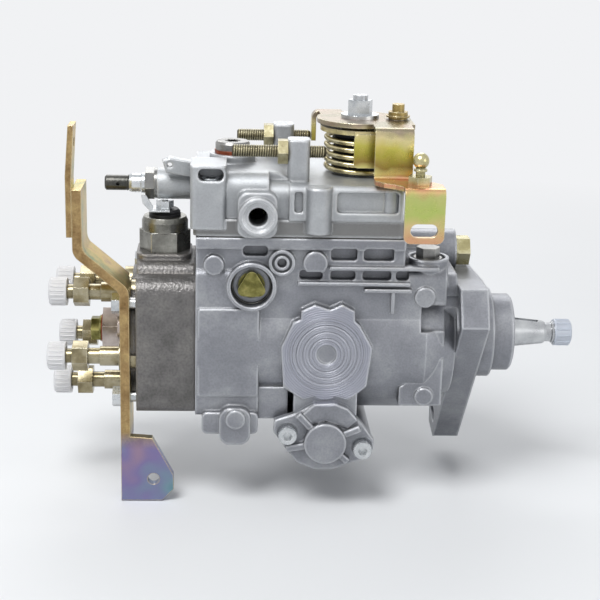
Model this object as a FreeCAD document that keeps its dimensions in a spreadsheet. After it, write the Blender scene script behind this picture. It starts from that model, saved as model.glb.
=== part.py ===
import FreeCAD, Part
import math
import os
import Sketcher

# A rotary distributor pump for a five cylinder diesel engine, in millimetres.
# X runs along the drive shaft towards the drive end, Y points away from the side
# that carries the round machined pad, and Z is up.
# The origin is the middle of the mounting flange's front face, on the shaft's axis.

doc = FreeCAD.newDocument("injection_pump")
sheet = doc.addObject("Spreadsheet::Sheet", "Sizes")
V = FreeCAD.Vector
gap = 0.3

# Driving dimensions: alias, value
SIZES = (
    ("flange_thick", 15.0),
    ("pilot_radius", 25.0),
    ("pilot_length", 8.0),
    ("nose_radius", 21.5),
    ("nose_end", 20.0),
    ("housing_rear", 154.5),
    ("housing_side", 39.0),
    ("housing_bottom", 37.0),
    ("barrel_radius", 42.0),
    ("cavity_radius", 34.0),
    ("split_height", 62.0),
    ("pad_proud", 2.5),
    ("gasket_thick", 0.8),
    ("cover_front", 45.0),
    ("band_height", 9.0),
    ("deck_height", 90.0),
    ("deck_rear", 106.5),
    ("cover_top", 95.0),
    ("port_x", 122.6),
    ("port_height", 74.7),
    ("port_ring_radius", 10.0),
    ("port_bore_radius", 5.0),
    ("port_reach", 48.0),
    ("tower_side", 25.0),
    ("stop_screw_height", 105.0),
    ("stop_screw_radius", 3.0),
    ("stop_nut_flats", 12.0),
    ("lever_x", 68.0),
    ("lever_shaft_radius", 5.0),
    ("lever_height", 117.0),
    ("lever_plate", 2.5),
    ("lever_disc_radius", 23.0),
    ("lever_bend_y", 37.0),
    ("lever_bend_width", 20.0),
    ("ledge_height", 91.2),
    ("outer_drop_y", 64.0),
    ("outer_drop_width", 20.5),
    ("outer_drop_low", 65.8),
    ("lever_bend_radius", 4.0),
    ("spring_radius", 18.0),
    ("spring_wire", 2.0),
    ("timing_x", 85.0),
    ("timing_height", 47.5),
    ("timing_boss_radius", 16.5),
    ("timing_bore_radius", 11.0),
    ("timing_cover_thick", 6.0),
    ("head_length", 32.7),
    ("head_side", 38.0),
    ("head_height", 41.0),
    ("outlet_circle", 29.4),
    ("outlet_reach", 48.5),
    ("outlet_thread_radius", 6.0),
    ("outlet_hex_flats", 14.0),
    ("cap_radius", 7.7),
    ("cap_length", 9.7),
    ("plug_flats", 22.0),
    ("vent_flats", 12.0),
    ("solenoid_x", 172.1),
    ("solenoid_flats", 24.0),
    ("solenoid_radius", 12.5),
    ("bracket_thick", 5.0),
    ("bracket_side", 40.0),
    ("bracket_offset", 23.8),
    ("bracket_top", 86.0),
    ("strip_thick", 3.0),
    ("strip_top", 119.0),
    ("foot_hole_radius", 3.2),
    ("shaft_radius", 10.0),
    ("taper_radius", 8.5),
    ("taper_start", 19.3),
    ("taper_end", 39.2),
    ("shaft_thread_radius", 6.0),
    ("shaft_tip", 53.4),
    ("shaft_cap_start", 45.6),
    ("key_width", 4.0),
    ("feed_ring_radius", 24.0),
    ("feed_offset", 2.0),
    ("feed_width", 14.0),
    ("feed_front", 23.0),
    ("gear_width", 7.0),
    ("drive_gear_teeth", 36.0),
    ("governor_gear_teeth", 24.0),
    ("gear_module", 1.3333),
    ("roller_radius", 5.5),
    ("cam_radius", 31.0),
    ("cam_lift", 2.2),
    ("plunger_radius", 5.0),
    ("collar_radius", 11.0),
    ("governor_height", 40.0),
    ("governor_shaft_radius", 4.0),
    ("running_clearance", 0.04),
    ("full_load_height", 82.1),
    ("full_load_radius", 4.0),
    ("return_plug_x", 135.9),
    ("return_boss_radius", 12.3),
    ("valve_boss_x", 31.4),
    ("valve_boss_y", 26.0),
    ("valve_boss_top", 50.0),
    ("valve_boss_radius", 11.2),
    ("inlet_y", 20.0),
    ("inlet_height", 42.0),
    ("window_x", 125.3),
    ("window_height", 36.3),
    ("window_radius", 11.0),
    ("slot_radius", 4.3),
)


class Size:
    """A length that carries its number and the sheet expression it came from."""

    def __init__(self, text, number):
        self.text = text
        self.number = number

    def __add__(self, other):
        return Size(f"({self.text} + {text_of(other)})", self.number + number_of(other))

    def __radd__(self, other):
        return self + other

    def __sub__(self, other):
        return Size(f"({self.text} - {text_of(other)})", self.number - number_of(other))

    def __rsub__(self, other):
        return Size(f"({text_of(other)} - {self.text})", number_of(other) - self.number)

    def __mul__(self, other):
        return Size(f"({self.text} * {text_of(other)})", self.number * number_of(other))

    def __rmul__(self, other):
        return self * other

    def __truediv__(self, other):
        return Size(f"({self.text} / {text_of(other)})", self.number / number_of(other))

    def __neg__(self):
        return self * -1


def number_of(value):
    return value.number if isinstance(value, Size) else float(value)


def text_of(value):
    return value.text if isinstance(value, Size) else f"{float(value):.6f}"


class Named:
    """The sheet's cells by name."""


d = Named()
for row, (alias, number) in enumerate(SIZES, 1):
    sheet.set(f"A{row}", alias)
    sheet.set(f"B{row}", str(number))
    sheet.setAlias(f"B{row}", alias)
    setattr(d, alias, Size(f"Sizes.{alias}", number))
doc.recompute()

TURNS = {
    "X": FreeCAD.Rotation(V(0, 1, 0), 90),
    "-X": FreeCAD.Rotation(V(0, 1, 0), -90),
    "Y": FreeCAD.Rotation(V(1, 0, 0), -90),
    "-Y": FreeCAD.Rotation(V(1, 0, 0), 90),
    "Z": FreeCAD.Rotation(),
    "-Z": FreeCAD.Rotation(V(1, 0, 0), 180),
}


# Helpers that place, bind and combine


def bind(thing, prop, value):
    setattr(thing, prop, number_of(value))
    if isinstance(value, Size):
        thing.setExpression(prop, value.text)


def place(thing, at=(0, 0, 0), along="Z", spin=0.0):
    turn = TURNS[along] if isinstance(along, str) else along
    turn = turn * FreeCAD.Rotation(V(0, 0, 1), spin)
    thing.Placement = FreeCAD.Placement(V(*[number_of(c) for c in at]), turn)
    for axis, value in zip("xyz", at):
        if isinstance(value, Size):
            thing.setExpression(f"Placement.Base.{axis}", value.text)
    return thing


def box(name, low, high):
    thing = doc.addObject("Part::Box", name)
    for prop, a, b in zip(("Length", "Width", "Height"), low, high):
        bind(thing, prop, b - a)
    return place(thing, low)


def rod(name, radius, length, at=(0, 0, 0), along="Z"):
    thing = doc.addObject("Part::Cylinder", name)
    bind(thing, "Radius", radius)
    bind(thing, "Height", length)
    return place(thing, at, along)


def cone(name, radius, far_radius, length, at=(0, 0, 0), along="Z"):
    thing = doc.addObject("Part::Cone", name)
    bind(thing, "Radius1", radius)
    bind(thing, "Radius2", far_radius)
    bind(thing, "Height", length)
    return place(thing, at, along)


def ball(name, radius, at=(0, 0, 0)):
    thing = doc.addObject("Part::Sphere", name)
    bind(thing, "Radius", radius)
    return place(thing, at)


def hexagon(name, flats, length, at=(0, 0, 0), along="Z", spin=0.0):
    thing = doc.addObject("Part::Prism", name)
    thing.Polygon = 6
    bind(thing, "Circumradius", flats / math.sqrt(3.0))
    bind(thing, "Height", length)
    return place(thing, at, along, spin)


def fuse(name, *things):
    thing = doc.addObject("Part::MultiFuse", name)
    thing.Shapes = list(things)
    return thing


def cut(name, base, *tools):
    tool = tools[0] if len(tools) == 1 else fuse(name + "_tools", *tools)
    thing = doc.addObject("Part::Cut", name)
    thing.Base = base
    thing.Tool = tool
    thing.Refine = True
    return thing


def group(name, *things):
    thing = doc.addObject("Part::Compound", name)
    thing.Links = list(things)
    return thing


def copy_of(thing, name, at=(0, 0, 0), turn=None):
    link = doc.addObject("Part::Compound", name)
    link.Links = [thing]
    return place(link, at, turn if turn is not None else "Z")


# Sketches whose corners are bound to the sheet


def draw(body, role, name, corners):
    """A closed loop: each corner is (x, y) or (x, y, radius of the arc that follows it)."""
    sketch = body.newObject("Sketcher::SketchObject", name)
    plane = [f for f in body.Origin.OriginFeatures if f.Role == role][0]
    sketch.AttachmentSupport = [(plane, "")]
    sketch.MapMode = "FlatFace"
    points = [V(number_of(c[0]), number_of(c[1]), 0) for c in corners]
    ends = []
    for i, corner in enumerate(corners):
        a = points[i]
        b = points[(i + 1) % len(points)]
        if len(corner) == 2:
            sketch.addGeometry(Part.LineSegment(a, b), False)
            ends.append((1, 2))
            continue
        radius = number_of(corner[2])
        middle = (a + b) * 0.5
        half = (b - a).Length / 2.0
        rise = math.sqrt(max(radius * radius - half * half, 0.0))
        side = V(a.y - b.y, b.x - a.x, 0).normalize()
        centre = middle + side * (rise if radius > 0 else -rise)
        start = math.atan2(a.y - centre.y, a.x - centre.x)
        stop = math.atan2(b.y - centre.y, b.x - centre.x)
        circle = Part.Circle(centre, V(0, 0, 1), abs(radius))
        if radius > 0:
            sketch.addGeometry(Part.ArcOfCircle(circle, start, stop), False)
            ends.append((1, 2))
        else:
            sketch.addGeometry(Part.ArcOfCircle(circle, stop, start), False)
            ends.append((2, 1))
    for i in range(len(corners)):
        j = (i + 1) % len(corners)
        sketch.addConstraint(Sketcher.Constraint("Coincident", i, ends[i][1], j, ends[j][0]))
    for i, corner in enumerate(corners):
        for kind, axis, value in (("DistanceX", -2, corner[0]), ("DistanceY", -1, corner[1])):
            if not isinstance(value, Size) and value == 0:
                sketch.addConstraint(Sketcher.Constraint("PointOnObject", i, ends[i][0], axis))
                continue
            n = sketch.addConstraint(Sketcher.Constraint(kind, -1, 1, i, ends[i][0], number_of(value)))
            if isinstance(value, Size):
                sketch.setExpression(f"Constraints[{n}]", value.text)
        if len(corner) == 3:
            n = sketch.addConstraint(Sketcher.Constraint("Radius", i, abs(number_of(corner[2]))))
            if isinstance(corner[2], Size):
                sign = 1 if corner[2].number > 0 else -1
                sketch.setExpression(f"Constraints[{n}]", (corner[2] * sign).text)
    return sketch


def turned(name, corners, at=(0, 0, 0), along="Z"):
    """A lathe-turned piece: corners are (radius, distance along the axis)."""
    body = doc.addObject("PartDesign::Body", name)
    sketch = draw(body, "XZ_Plane", name + "_profile", corners)
    turn = body.newObject("PartDesign::Revolution", name + "_turn")
    turn.Profile = sketch
    turn.ReferenceAxis = (sketch, ["V_Axis"])
    turn.Angle = 360
    return place(body, at, along)


def plate(name, corners, thick, at=(0, 0, 0), along="Z", spin=0.0):
    """A flat piece with the outline of the corners, padded by its thickness."""
    body = doc.addObject("PartDesign::Body", name)
    sketch = draw(body, "XY_Plane", name + "_outline", corners)
    pad = body.newObject("PartDesign::Pad", name + "_pad")
    pad.Profile = sketch
    bind(pad, "Length", thick)
    return place(body, at, along, spin)


def rounded(x0, y0, x1, y1, radius):
    """A rectangle's corners with round corners."""
    r = radius
    return [
        (x0 + r, y0), (x1 - r, y0, r), (x1, y0 + r), (x1, y1 - r, r),
        (x1 - r, y1), (x0 + r, y1, r), (x0, y1 - r), (x0, y0 + r, r),
    ]


def arched(y0, y1, low, high, foot, crown):
    """A block's end view with one radius at its foot and another at its crown."""
    return [
        (y0 + foot, low), (y1 - foot, low, foot), (y1, low + foot), (y1, high - crown, crown),
        (y1 - crown, high), (y0 + crown, high, crown), (y0, high - crown), (y0, low + foot, foot),
    ]


def slot(half_length, radius):
    return [(-half_length, -radius), (half_length, -radius, radius), (half_length + radius, 0, radius),
            (half_length, radius), (-half_length, radius, radius), (-half_length - radius, 0, radius)]


# A sketch padded along +X with its own x to the row's +Y and its own y to the row's +Z
ALONG_X = FreeCAD.Rotation(V(0, 1, 0), V(0, 0, 1), V(1, 0, 0), "XYZ")
# A sketch padded along -Y, towards the viewer, with x to +X and y to +Z
FACING = FreeCAD.Rotation(V(1, 0, 0), V(0, 0, 1), V(0, -1, 0), "XYZ")


def coil(name, radius, wire, pitch, turns, at=(0, 0, 0), along="Z", around=10, sides=4):
    """A wound spring in flat facets: a Part::Feature, because a faceted helix needs Part's own functions."""
    steps = int(round(turns * around))
    rings = []
    for i in range(steps + 1):
        angle = 2 * math.pi * i / around
        out = V(math.cos(angle), math.sin(angle), 0)
        middle = out * radius + V(0, 0, pitch * i / around)
        ring = []
        for k in range(sides):
            a = 2 * math.pi * (k + 0.5) / sides
            ring.append(middle + out * (wire / 2 * math.cos(a)) + V(0, 0, wire / 2 * math.sin(a)))
        rings.append(ring)
    faces = []
    for a, b in zip(rings, rings[1:]):
        for k in range(sides):
            m = (k + 1) % sides
            for corners in ((a[k], b[k], b[m]), (a[k], b[m], a[m])):
                faces.append(Part.Face(Part.makePolygon([*corners, corners[0]])))
    for ring in (rings[0], rings[-1]):
        faces.append(Part.Face(Part.makePolygon([*ring, ring[0]])))
    solid = Part.Solid(Part.Shell(faces))
    if solid.Volume < 0:
        solid.reverse()
    thing = doc.addObject("Part::Feature", name)
    thing.Shape = solid
    return place(thing, at, along)


def n(value):
    return number_of(value)


def sind(degrees):
    return math.sin(math.radians(degrees))


def cosd(degrees):
    return math.cos(math.radians(degrees))


# Places used by more than one piece
rear = -d.housing_rear
front = -d.flange_thick
side = d.housing_side
head_back = rear - d.head_length
plate_face = head_back - 2.0
timing_x = -d.timing_x
timing_z = -d.timing_height
outlet_angles = [58.8 - 72.0 * i for i in range(5)]
cover_base = d.split_height + d.gasket_thick
lever_x = -d.lever_x
pad_y = -side - d.pad_proud - 2.0


def outlet_at(i, x):
    angle = outlet_angles[i]
    return (x, -d.outlet_circle * cosd(angle), d.outlet_circle * sind(angle))


def screw(name, radius, length, head_radius, head, at, along):
    """A socket head cap screw with its hexagon socket cut in the head."""
    shank = rod(name + "_shank", radius, length)
    cap = rod(name + "_cap", head_radius, head, (0, 0, -head))
    socket = hexagon(name + "_socket", head_radius, head * 0.6, (0, 0, -head))
    whole = fuse(name + "_whole", shank, cap)
    piece = cut(name, whole, socket)
    return place(piece, at, along)


def hex_bolt(name, radius, length, flats, head, at, along):
    shank = rod(name + "_shank", radius, length)
    cap = hexagon(name + "_hex", flats, head, (0, 0, -head))
    return place(fuse(name, shank, cap), at, along)


# Housing


def housing():
    left = -d.window_x + 4.5
    solids = []
    barrel = rod("barrel", d.barrel_radius, d.housing_rear - 32.0, (rear, 0, 0), "X")
    throat = cone("throat", d.barrel_radius, d.barrel_radius - 8.0, 32.0 - d.flange_thick, (-32, 0, 0), "X")
    block = plate("rear_block", rounded(-side - 1.5, -d.housing_bottom, side, 45, 5),
                  left - rear, (rear, 0, 0), ALONG_X)
    upper = plate("upper_block", rounded(-side + 1.0, 0, side - 1.0, d.split_height, 3),
                  rear * -1 - d.cover_front, (rear, 0, 0), ALONG_X)
    rim = box("top_rim", (rear, -side - 1.0, d.split_height - 6.0),
              (-d.cover_front, side + 1.0, d.split_height))
    shoulder = plate("front_shoulder", rounded(-side + 1.0, 0, side - 1.0, 45.5, 6), d.cover_front - 22.0,
                     (-d.cover_front, 0, 0), ALONG_X)
    valley = plate("flange_root", rounded(-30, 0, 30, 40, 8), 22.0 - d.flange_thick, (-22, 0, 0), ALONG_X)
    slope = plate("front_slope", [(-d.cover_front - 1.0, 44), (-d.cover_front + 8.0, 44),
                                  (-d.cover_front - 1.0, d.split_height - 6.0)], 60, (0, 30, 0), FACING)
    solids += [barrel, throat, block, upper, rim, shoulder, valley, slope]
    solids.append(rod("timing_barrel", d.timing_boss_radius, 2 * side + 8.0,
                      (timing_x, -side - 4.0, timing_z), "Y"))
    solids.append(box("timing_web", (timing_x - 17.0, -side - 4.0, -44), (timing_x + 17.0, side + 4.0, -20)))
    # Round machined pad with its cut corners, seen on the viewer's side
    px = timing_x
    pad = [(px - 24.2, 3.9), (px - 18.1, 17.3), (px - 14.2, 19.2), (px - 13.9, 23.7), (px - 7, 27.2),
           (px + 1.1, 24.5), (px + 7.4, 27.4), (px + 13.9, 24), (px + 14.4, 18.4), (px + 17.2, 15.9),
           (px + 24.1, 3.6), (px + 21.6, -17.9), (px + 12.6, -25.6), (px + 5.0, -23.5, -9.0),
           (px - 6.0, -23.5),
           (px - 12.3, -25.3), (px - 22.7, -18.6)]
    solids.append(plate("machined_pad", pad, 18, (0, pad_y + 18.0, 0), FACING))
    solids.append(plate("data_pad", rounded(rear + 1.3, -24.8, -121.1, 23.9, 1.5), 10, (0, -side + 7.5, 0),
                        FACING))
    for i, (x, z, r, proud) in enumerate((
            (-145.1, 47.6, 5.2, 2.6), (-d.window_x, d.window_height, d.window_radius + 2.0, 4.0),
            (-109.7, 49.2, 6.9, 2.6),
            (-92.2, 49.1, 6.3, 2.2), (-33.5, 30.7, 5.5, 0.4), (-31.7, -25.0, 5.0, 0.4))):
        solids.append(rod(f"boss_{i}", r, 14, (x, -side - proud + 14.0, z), "-Y"))
    for i, (x0, x1, z) in enumerate(((-84.6, -27.0, 45.4), (-66.0, -41.0, 33.5), (-101.0, -42.0, 37.0))):
        solids.append(box(f"rib_{i}", (x0, -side - 1.6, z), (x1, -20, z + 1.8)))
    solids.append(box("rib_down", (-51.6, -side - 1.2, 22), (-49.8, -20, 34)))
    solids.append(plate("front_foot", [(-45, -30.5), (-22, -30.5), (-22, -4), (-27, -4), (-37, -15),
                                       (-45, -20)], 20,
                        (0, -side + 21.0, 0), FACING))
    solids.append(plate("rear_web", [(-122, -38), (timing_x - 20.0, -38), (timing_x - 20.0, -20),
                                     (-122, -20)], 2 * side,
                        (0, side, 0), FACING))
    # Lug under the rear corner, with its round face and two small ears
    solids.append(plate("lug", rounded(-141.5, -50.6, -124.9, -30, 6), 26, (0, -20, 0), FACING))
    solids.append(rod("lug_face", 5.2, 2, (-132.9, -46, -35.6), "-Y"))
    solids.append(plate("lug_ears", rounded(-150.9, -45, -120.8, -33, 3), 6, (0, -38, 0), FACING))
    # Regulating valve boss on the top and inlet boss beside the flange
    solids.append(rod("valve_boss", d.valve_boss_radius, d.valve_boss_top - 22.0,
                      (-d.valve_boss_x, -d.valve_boss_y, 22), "Z"))
    solids.append(rod("inlet_boss", 12, 30, (-40, d.inlet_y, d.inlet_height), "X"))
    # Flange and nose
    ears = [(-39.6, 35.4), (-50, 17), (27, -74), (44, -71), (50, -38), (54, 12), (44, 33), (16, 33),
            (-18, 35.3)]
    solids.append(plate("flange", list(reversed(ears)), d.flange_thick, (front, 0, 0), ALONG_X))
    solids.append(rod("pilot", d.pilot_radius, d.pilot_length, (0, 0, 0), "X"))
    solids.append(turned("nose", [(0, 0), (d.nose_radius, 0), (d.nose_radius, d.nose_end - 1.0),
                                  (d.nose_radius - 1.0, d.nose_end), (0, d.nose_end)], (0, 0, 0), "X"))
    for i, (y, z) in enumerate(((-34, 20), (20, -52), (36, 16))):
        solids.append(plate(f"gusset_{i}", [(-42, 0), (front, 0), (front, 26), (front - 4.0, 26)], 5,
                            (0, 2.5, 0),
                            FreeCAD.Rotation(V(1, 0, 0), math.degrees(math.atan2(z, y)) - 90.0)
                            * FACING))
    body = fuse("housing_solid", *solids)
    # Cavity for the feed pump, cam and governor, and every bore
    tools = [
        rod("cavity", d.cavity_radius, d.housing_rear - 22.0, (rear, 0, 0), "X"),
        plate("governor_cavity", rounded(-31, 10, 31, d.split_height + 10.0, 6), 96.5, (-148, 0, 0), ALONG_X),
        rod("bush_bore", 13, 60, (-30, 0, 0), "X"),
        rod("seal_bore", 15, 8, (6, 0, 0), "X"),
        rod("timing_bore", d.timing_bore_radius + d.running_clearance, 120, (timing_x, -60, timing_z), "Y"),
        box("pin_window", (timing_x - 4.5, -14, -40), (timing_x + 4.5, 14, -30)),
        rod("valve_bore", 7, 30, (-d.valve_boss_x, -d.valve_boss_y, d.valve_boss_top - 7.0), "Z"),
        rod("valve_counterbore", d.valve_boss_radius - 1.8, 4,
            (-d.valve_boss_x, -d.valve_boss_y, d.valve_boss_top - 2.0), "Z"),
        rod("inlet_bore", 6, 24, (-34, d.inlet_y, d.inlet_height), "X"),
        rod("governor_shaft_bore", d.governor_shaft_radius, 11, (-52, 0, d.governor_height), "X"),
        rod("window_bore", d.window_radius, 6.5, (-d.window_x, -side - 5.0, d.window_height), "Y"),
        rod("window_thread", 7, 14, (-d.window_x, -side - 5.0, d.window_height), "Y"),
        cut("ring_boss_groove", rod("ring_groove_out", 5.3, 2.2, (-109.7, -side - 3.0, 49.2), "Y"),
            rod("ring_groove_in", 3.9, 4, (-109.7, -side - 4.0, 49.2), "Y")),
        rod("ring_boss_hole", 2.5, 4.5, (-109.7, -side - 3.0, 49.2), "Y"),
        rod("pad_dimple", 5.3, 0.7, (-85.1, pad_y - 0.1, -0.1), "Y"),
        plate("dark_pocket", rounded(-130, 52, -117, 58, 2.2), 14, (0, -side + 6.0, 0), FACING),
    ]
    for i, r in enumerate((9.0, 12.5, 16.0)):
        ring = cut(f"pad_ring_{i}", rod(f"pad_ring_out_{i}", r + 0.7, 0.4, (-85.1, pad_y - 0.1, -0.1), "Y"),
                   rod(f"pad_ring_in_{i}", r, 2, (-85.1, pad_y - 1.0, -0.1), "Y"))
        tools.append(ring)
    for i, (x0, x1, z0, z1) in enumerate((
            (-84, -70.2, 50, 57), (-66.8, -50.8, 50, 57), (-100.3, -88.1, 39.5, 44.7),
            (-84.1, -70.8, 39.5, 44.6), (-67.1, -51.9, 39.5, 44.6), (-49.5, -42.5, 39.5, 44.6))):
        tools.append(plate(f"pocket_{i}", rounded(x0, z0, x1, z1, 1.8), 14, (0, -side + 6.0, 0), FACING))
    for i, (y, z, tilt, length) in enumerate(FLANGE_SLOTS):
        turn = ALONG_X * FreeCAD.Rotation(V(0, 0, 1), tilt)
        tools.append(plate(f"flange_slot_{i}", slot(length, d.slot_radius), d.flange_thick + 30.0,
                           (front - 20.0, y, z), turn))
    for i, (y, z) in enumerate(HEAD_SCREWS):
        tools.append(rod(f"head_screw_hole_{i}", 3, 18, (rear - 1.0, y, z), "X"))
    for i, (x, y) in enumerate(COVER_SCREWS):
        depth = 13.0 if i == 0 else 4.8
        tools.append(rod(f"cover_screw_hole_{i}", 3, depth + 1.0, (x, y, d.split_height - depth)))
    for i, (x, z) in enumerate(TIMING_SCREWS):
        for sign in (-1, 1):
            tools.append(rod(f"timing_screw_hole_{i}_{sign + 1}", 3, 12,
                             (timing_x + x, sign * (side + 4.0) - 6.0, timing_z + z), "Y"))
    # Round ears that carry the timing cover's screws
    ear_solids = []
    for i, (x, z) in enumerate(TIMING_SCREWS):
        ear_solids.append(rod(f"timing_ear_{i}", 6.5, 2 * side + 8.0,
                              (timing_x + x, -side - 4.0, timing_z + z), "Y"))
    cavity_fill = fuse("housing_blank", body, *ear_solids)
    return cut("pump_housing", cavity_fill, *tools)


FLANGE_SLOTS = ((-36.0, 21.0, 60.0, 6.0), (33.0, -60.0, 28.0, 3.0), (38.0, 20.0, -60.0, 6.0))
HEAD_SCREWS = ((-32.5, 24.0), (32.5, 30.0), (-33.0, -28.0), (33.0, -28.0))
COVER_SCREWS = ((-147.0, -34.3), (-147.0, 34.3), (-53.5, 34.3), (-53.5, -34.3))
TIMING_SCREWS = ((-20.2, 4.7), (20.2, -3.4))


# Governor cover


def governor_cover():
    base = cover_base
    ledge = base + d.band_height - 0.6
    deck_side = side + 2.2
    solids = [
        plate("cover_band", rounded(rear - 1.5, -side - 1.0, -d.cover_front, side + 1.0, 4), d.band_height,
              (0, 0, base)),
        plate("cover_deck", arched(-deck_side, deck_side, ledge, d.deck_height, 1.5, 4),
              d.deck_rear - d.cover_front - 2.5, (-d.deck_rear, 0, 0), ALONG_X),
        plate("cover_rear", arched(-side + 0.5, side - 3.0, ledge, d.cover_top, 1.5, 9),
              -rear - 117.0 + 1.0, (rear - 1.0, 0, 0), ALONG_X),
        rod("cover_dome", 15, 58, (-117, -29, 80), "Y"),
        plate("cover_shoulder", arched(-side + 0.5, side - 3.0, ledge, 90.5, 1.5, 8), 12, (-118, 0, 0),
              ALONG_X),
        rod("return_boss", d.return_boss_radius, 34, (-d.return_plug_x, 0, 65.5)),
        plate("bolt_tower", rounded(rear - 3.0, -deck_side, -139, -16, 3), 33.1, (0, 0, 66.5)),
        plate("rear_bolt_tower", rounded(rear - 3.0, 16, -139, side + 1.0, 3), 20, (0, 0, 64.6)),
        plate("port_boss", rounded(-133, 63.5, -112.9, 87, 5), 26, (0, -side + 19.0, 0), FACING),
        rod("port_ring", d.port_ring_radius, 30, (-d.port_x, -d.port_reach + 30.0, d.port_height), "-Y"),
        rod("full_load_boss", 8.4, 24, (-152, 0, d.full_load_height), "-X"),
        rod("spring_seat", 14, 3, (lever_x, 0, d.deck_height - 1.0)),
        rod("deck_boss", 6.8, 24, (-91.3, -side - 1.0, 65.5)),
        plate("tab", [(-173, 97), (-171, 90.5), (-156, 88), (-150, 88), (-150, 95), (-169, 98.5)], 5,
              (0, -8, 0), FACING),
    ]
    for i, (x, sign) in enumerate(((-101.6, -1), (-107.7, 1))):
        solids.append(plate(f"tower_{i}", rounded(x - 5.7, -6, x + 5.7, 6, 3), d.stop_screw_height - 63.2,
                            (0, sign * d.tower_side, 70)))
    solid = fuse("cover_solid", *solids)
    tools = [
        plate("cover_hollow", rounded(rear + 8.5, -29.5, -d.cover_front - 7.0, 29.5, 6), 18,
              (0, 0, base - 1.0)),
        box("deck_hollow", (-d.deck_rear + 6.0, -30, 70), (-d.cover_front - 7.0, 28, d.deck_height - 6.0)),
        rod("lever_bore", d.lever_shaft_radius + d.running_clearance, 40, (lever_x, 0, 65)),
        rod("port_bore", d.port_bore_radius, 40, (-d.port_x, -d.port_reach - 1.0, d.port_height), "Y"),
        cone("port_mouth", d.port_bore_radius + 3.0, d.port_bore_radius + 2.2, 1.0,
             (-d.port_x, -d.port_reach - 0.1, d.port_height), "Y"),
        rod("return_bore", 6, 40, (-d.return_plug_x, 0, 70)),
        rod("full_load_bore", d.full_load_radius, 60, (-130, 0, d.full_load_height), "-X"),
        rod("tab_hole", 1.4, 20, (-169, -2, 94.5), "-Y"),
        rod("bolt_pocket", 5.2, 8, (COVER_SCREWS[0][0], COVER_SCREWS[0][1], TOWER_SEAT)),
        plate("bolt_window", rounded(-153.5, 91.7, -140.4, 98.2, 2.8), 14, (0, -29, 0), FACING),
        plate("panel_0", rounded(-104, 76, -99.5, 87, 1.5), 4, (0, -side + 0.2, 0), FACING),
        plate("panel_1", rounded(-82, 76, -50, 87, 2), 4, (0, -side + 0.2, 0), FACING),
    ]
    for i, (x, sign) in enumerate(((-101.6, -1), (-107.7, 1))):
        tools.append(rod(f"stop_bore_{i}", d.stop_screw_radius, 30,
                         (x - 15.0, sign * d.tower_side, d.stop_screw_height), "X"))
    for i, (x, y) in enumerate(COVER_SCREWS):
        tools.append(rod(f"cover_hole_{i}", 3, 60 if i else n(TOWER_SEAT) - 50, (x, y, 50)))
        if i:
            tools.append(rod(f"cover_well_{i}", 5.2, 60, (x, y, 72)))
    return cut("governor_cover", solid, *tools)


# Height of the seat under the head of the long screw in the near tower
TOWER_SEAT = 86.5


def cover_gasket():
    blank = plate("gasket_blank", rounded(rear, -side - 1.0, -d.cover_front, side + 1.0, 4), d.gasket_thick,
                  (0, 0, d.split_height))
    inner = plate("gasket_inner", rounded(rear + 8.5, -29.5, -d.cover_front - 7.0, 29.5, 6), 4,
                  (0, 0, d.split_height - 1.0))
    holes = [rod(f"gasket_hole_{i}", 3, 4, (x, y, d.split_height - 1.0)) for i,
             (x, y) in enumerate(COVER_SCREWS)]
    return cut("cover_gasket", blank, inner, *holes)


def socket_screws():
    pieces = []
    for i, (x, y) in enumerate(COVER_SCREWS):
        seat, length = (TOWER_SEAT, TOWER_SEAT - 50.0) if i == 0 else (72.0, 14.5)
        pieces.append(screw(f"cover_screw_{i}", 3, length, 4.9, 6, (x, y, seat), "-Z"))
    for i, (x, z) in enumerate(TIMING_SCREWS):
        for sign, along in ((-1, "Y"), (1, "-Y")):
            y = sign * (side + 4.0 + d.timing_cover_thick - TIMING_SEAT_DEPTH)
            pieces.append(screw(f"timing_screw_{i}_{sign + 1}", 3, 9.6, 4.8, 6,
                                (timing_x + x, y, timing_z + z), along))
    return group("socket_screws", *pieces)


# Timing device


# Outline of the timing cover from its crown's centre, and how deep the screws' heads are sunk in it
TIMING_COVER_EDGE = [(-27, 11.6), (-16.9, 15.1), (-12.5, 17.3), (-6.1, 21.2), (4.5, 21.7), (11.9, 18.7),
                     (20.4, 9.2),
                     (26.5, 0.5), (26.3, -3.9), (24.4, -9.2), (13.4, -12.8), (4.8, -16.3), (-5.1, -16.4),
                     (-15, -12.1),
                     (-20.9, -4.2), (-27.7, 5.4)]
TIMING_SEAT_DEPTH = 2.0


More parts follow.
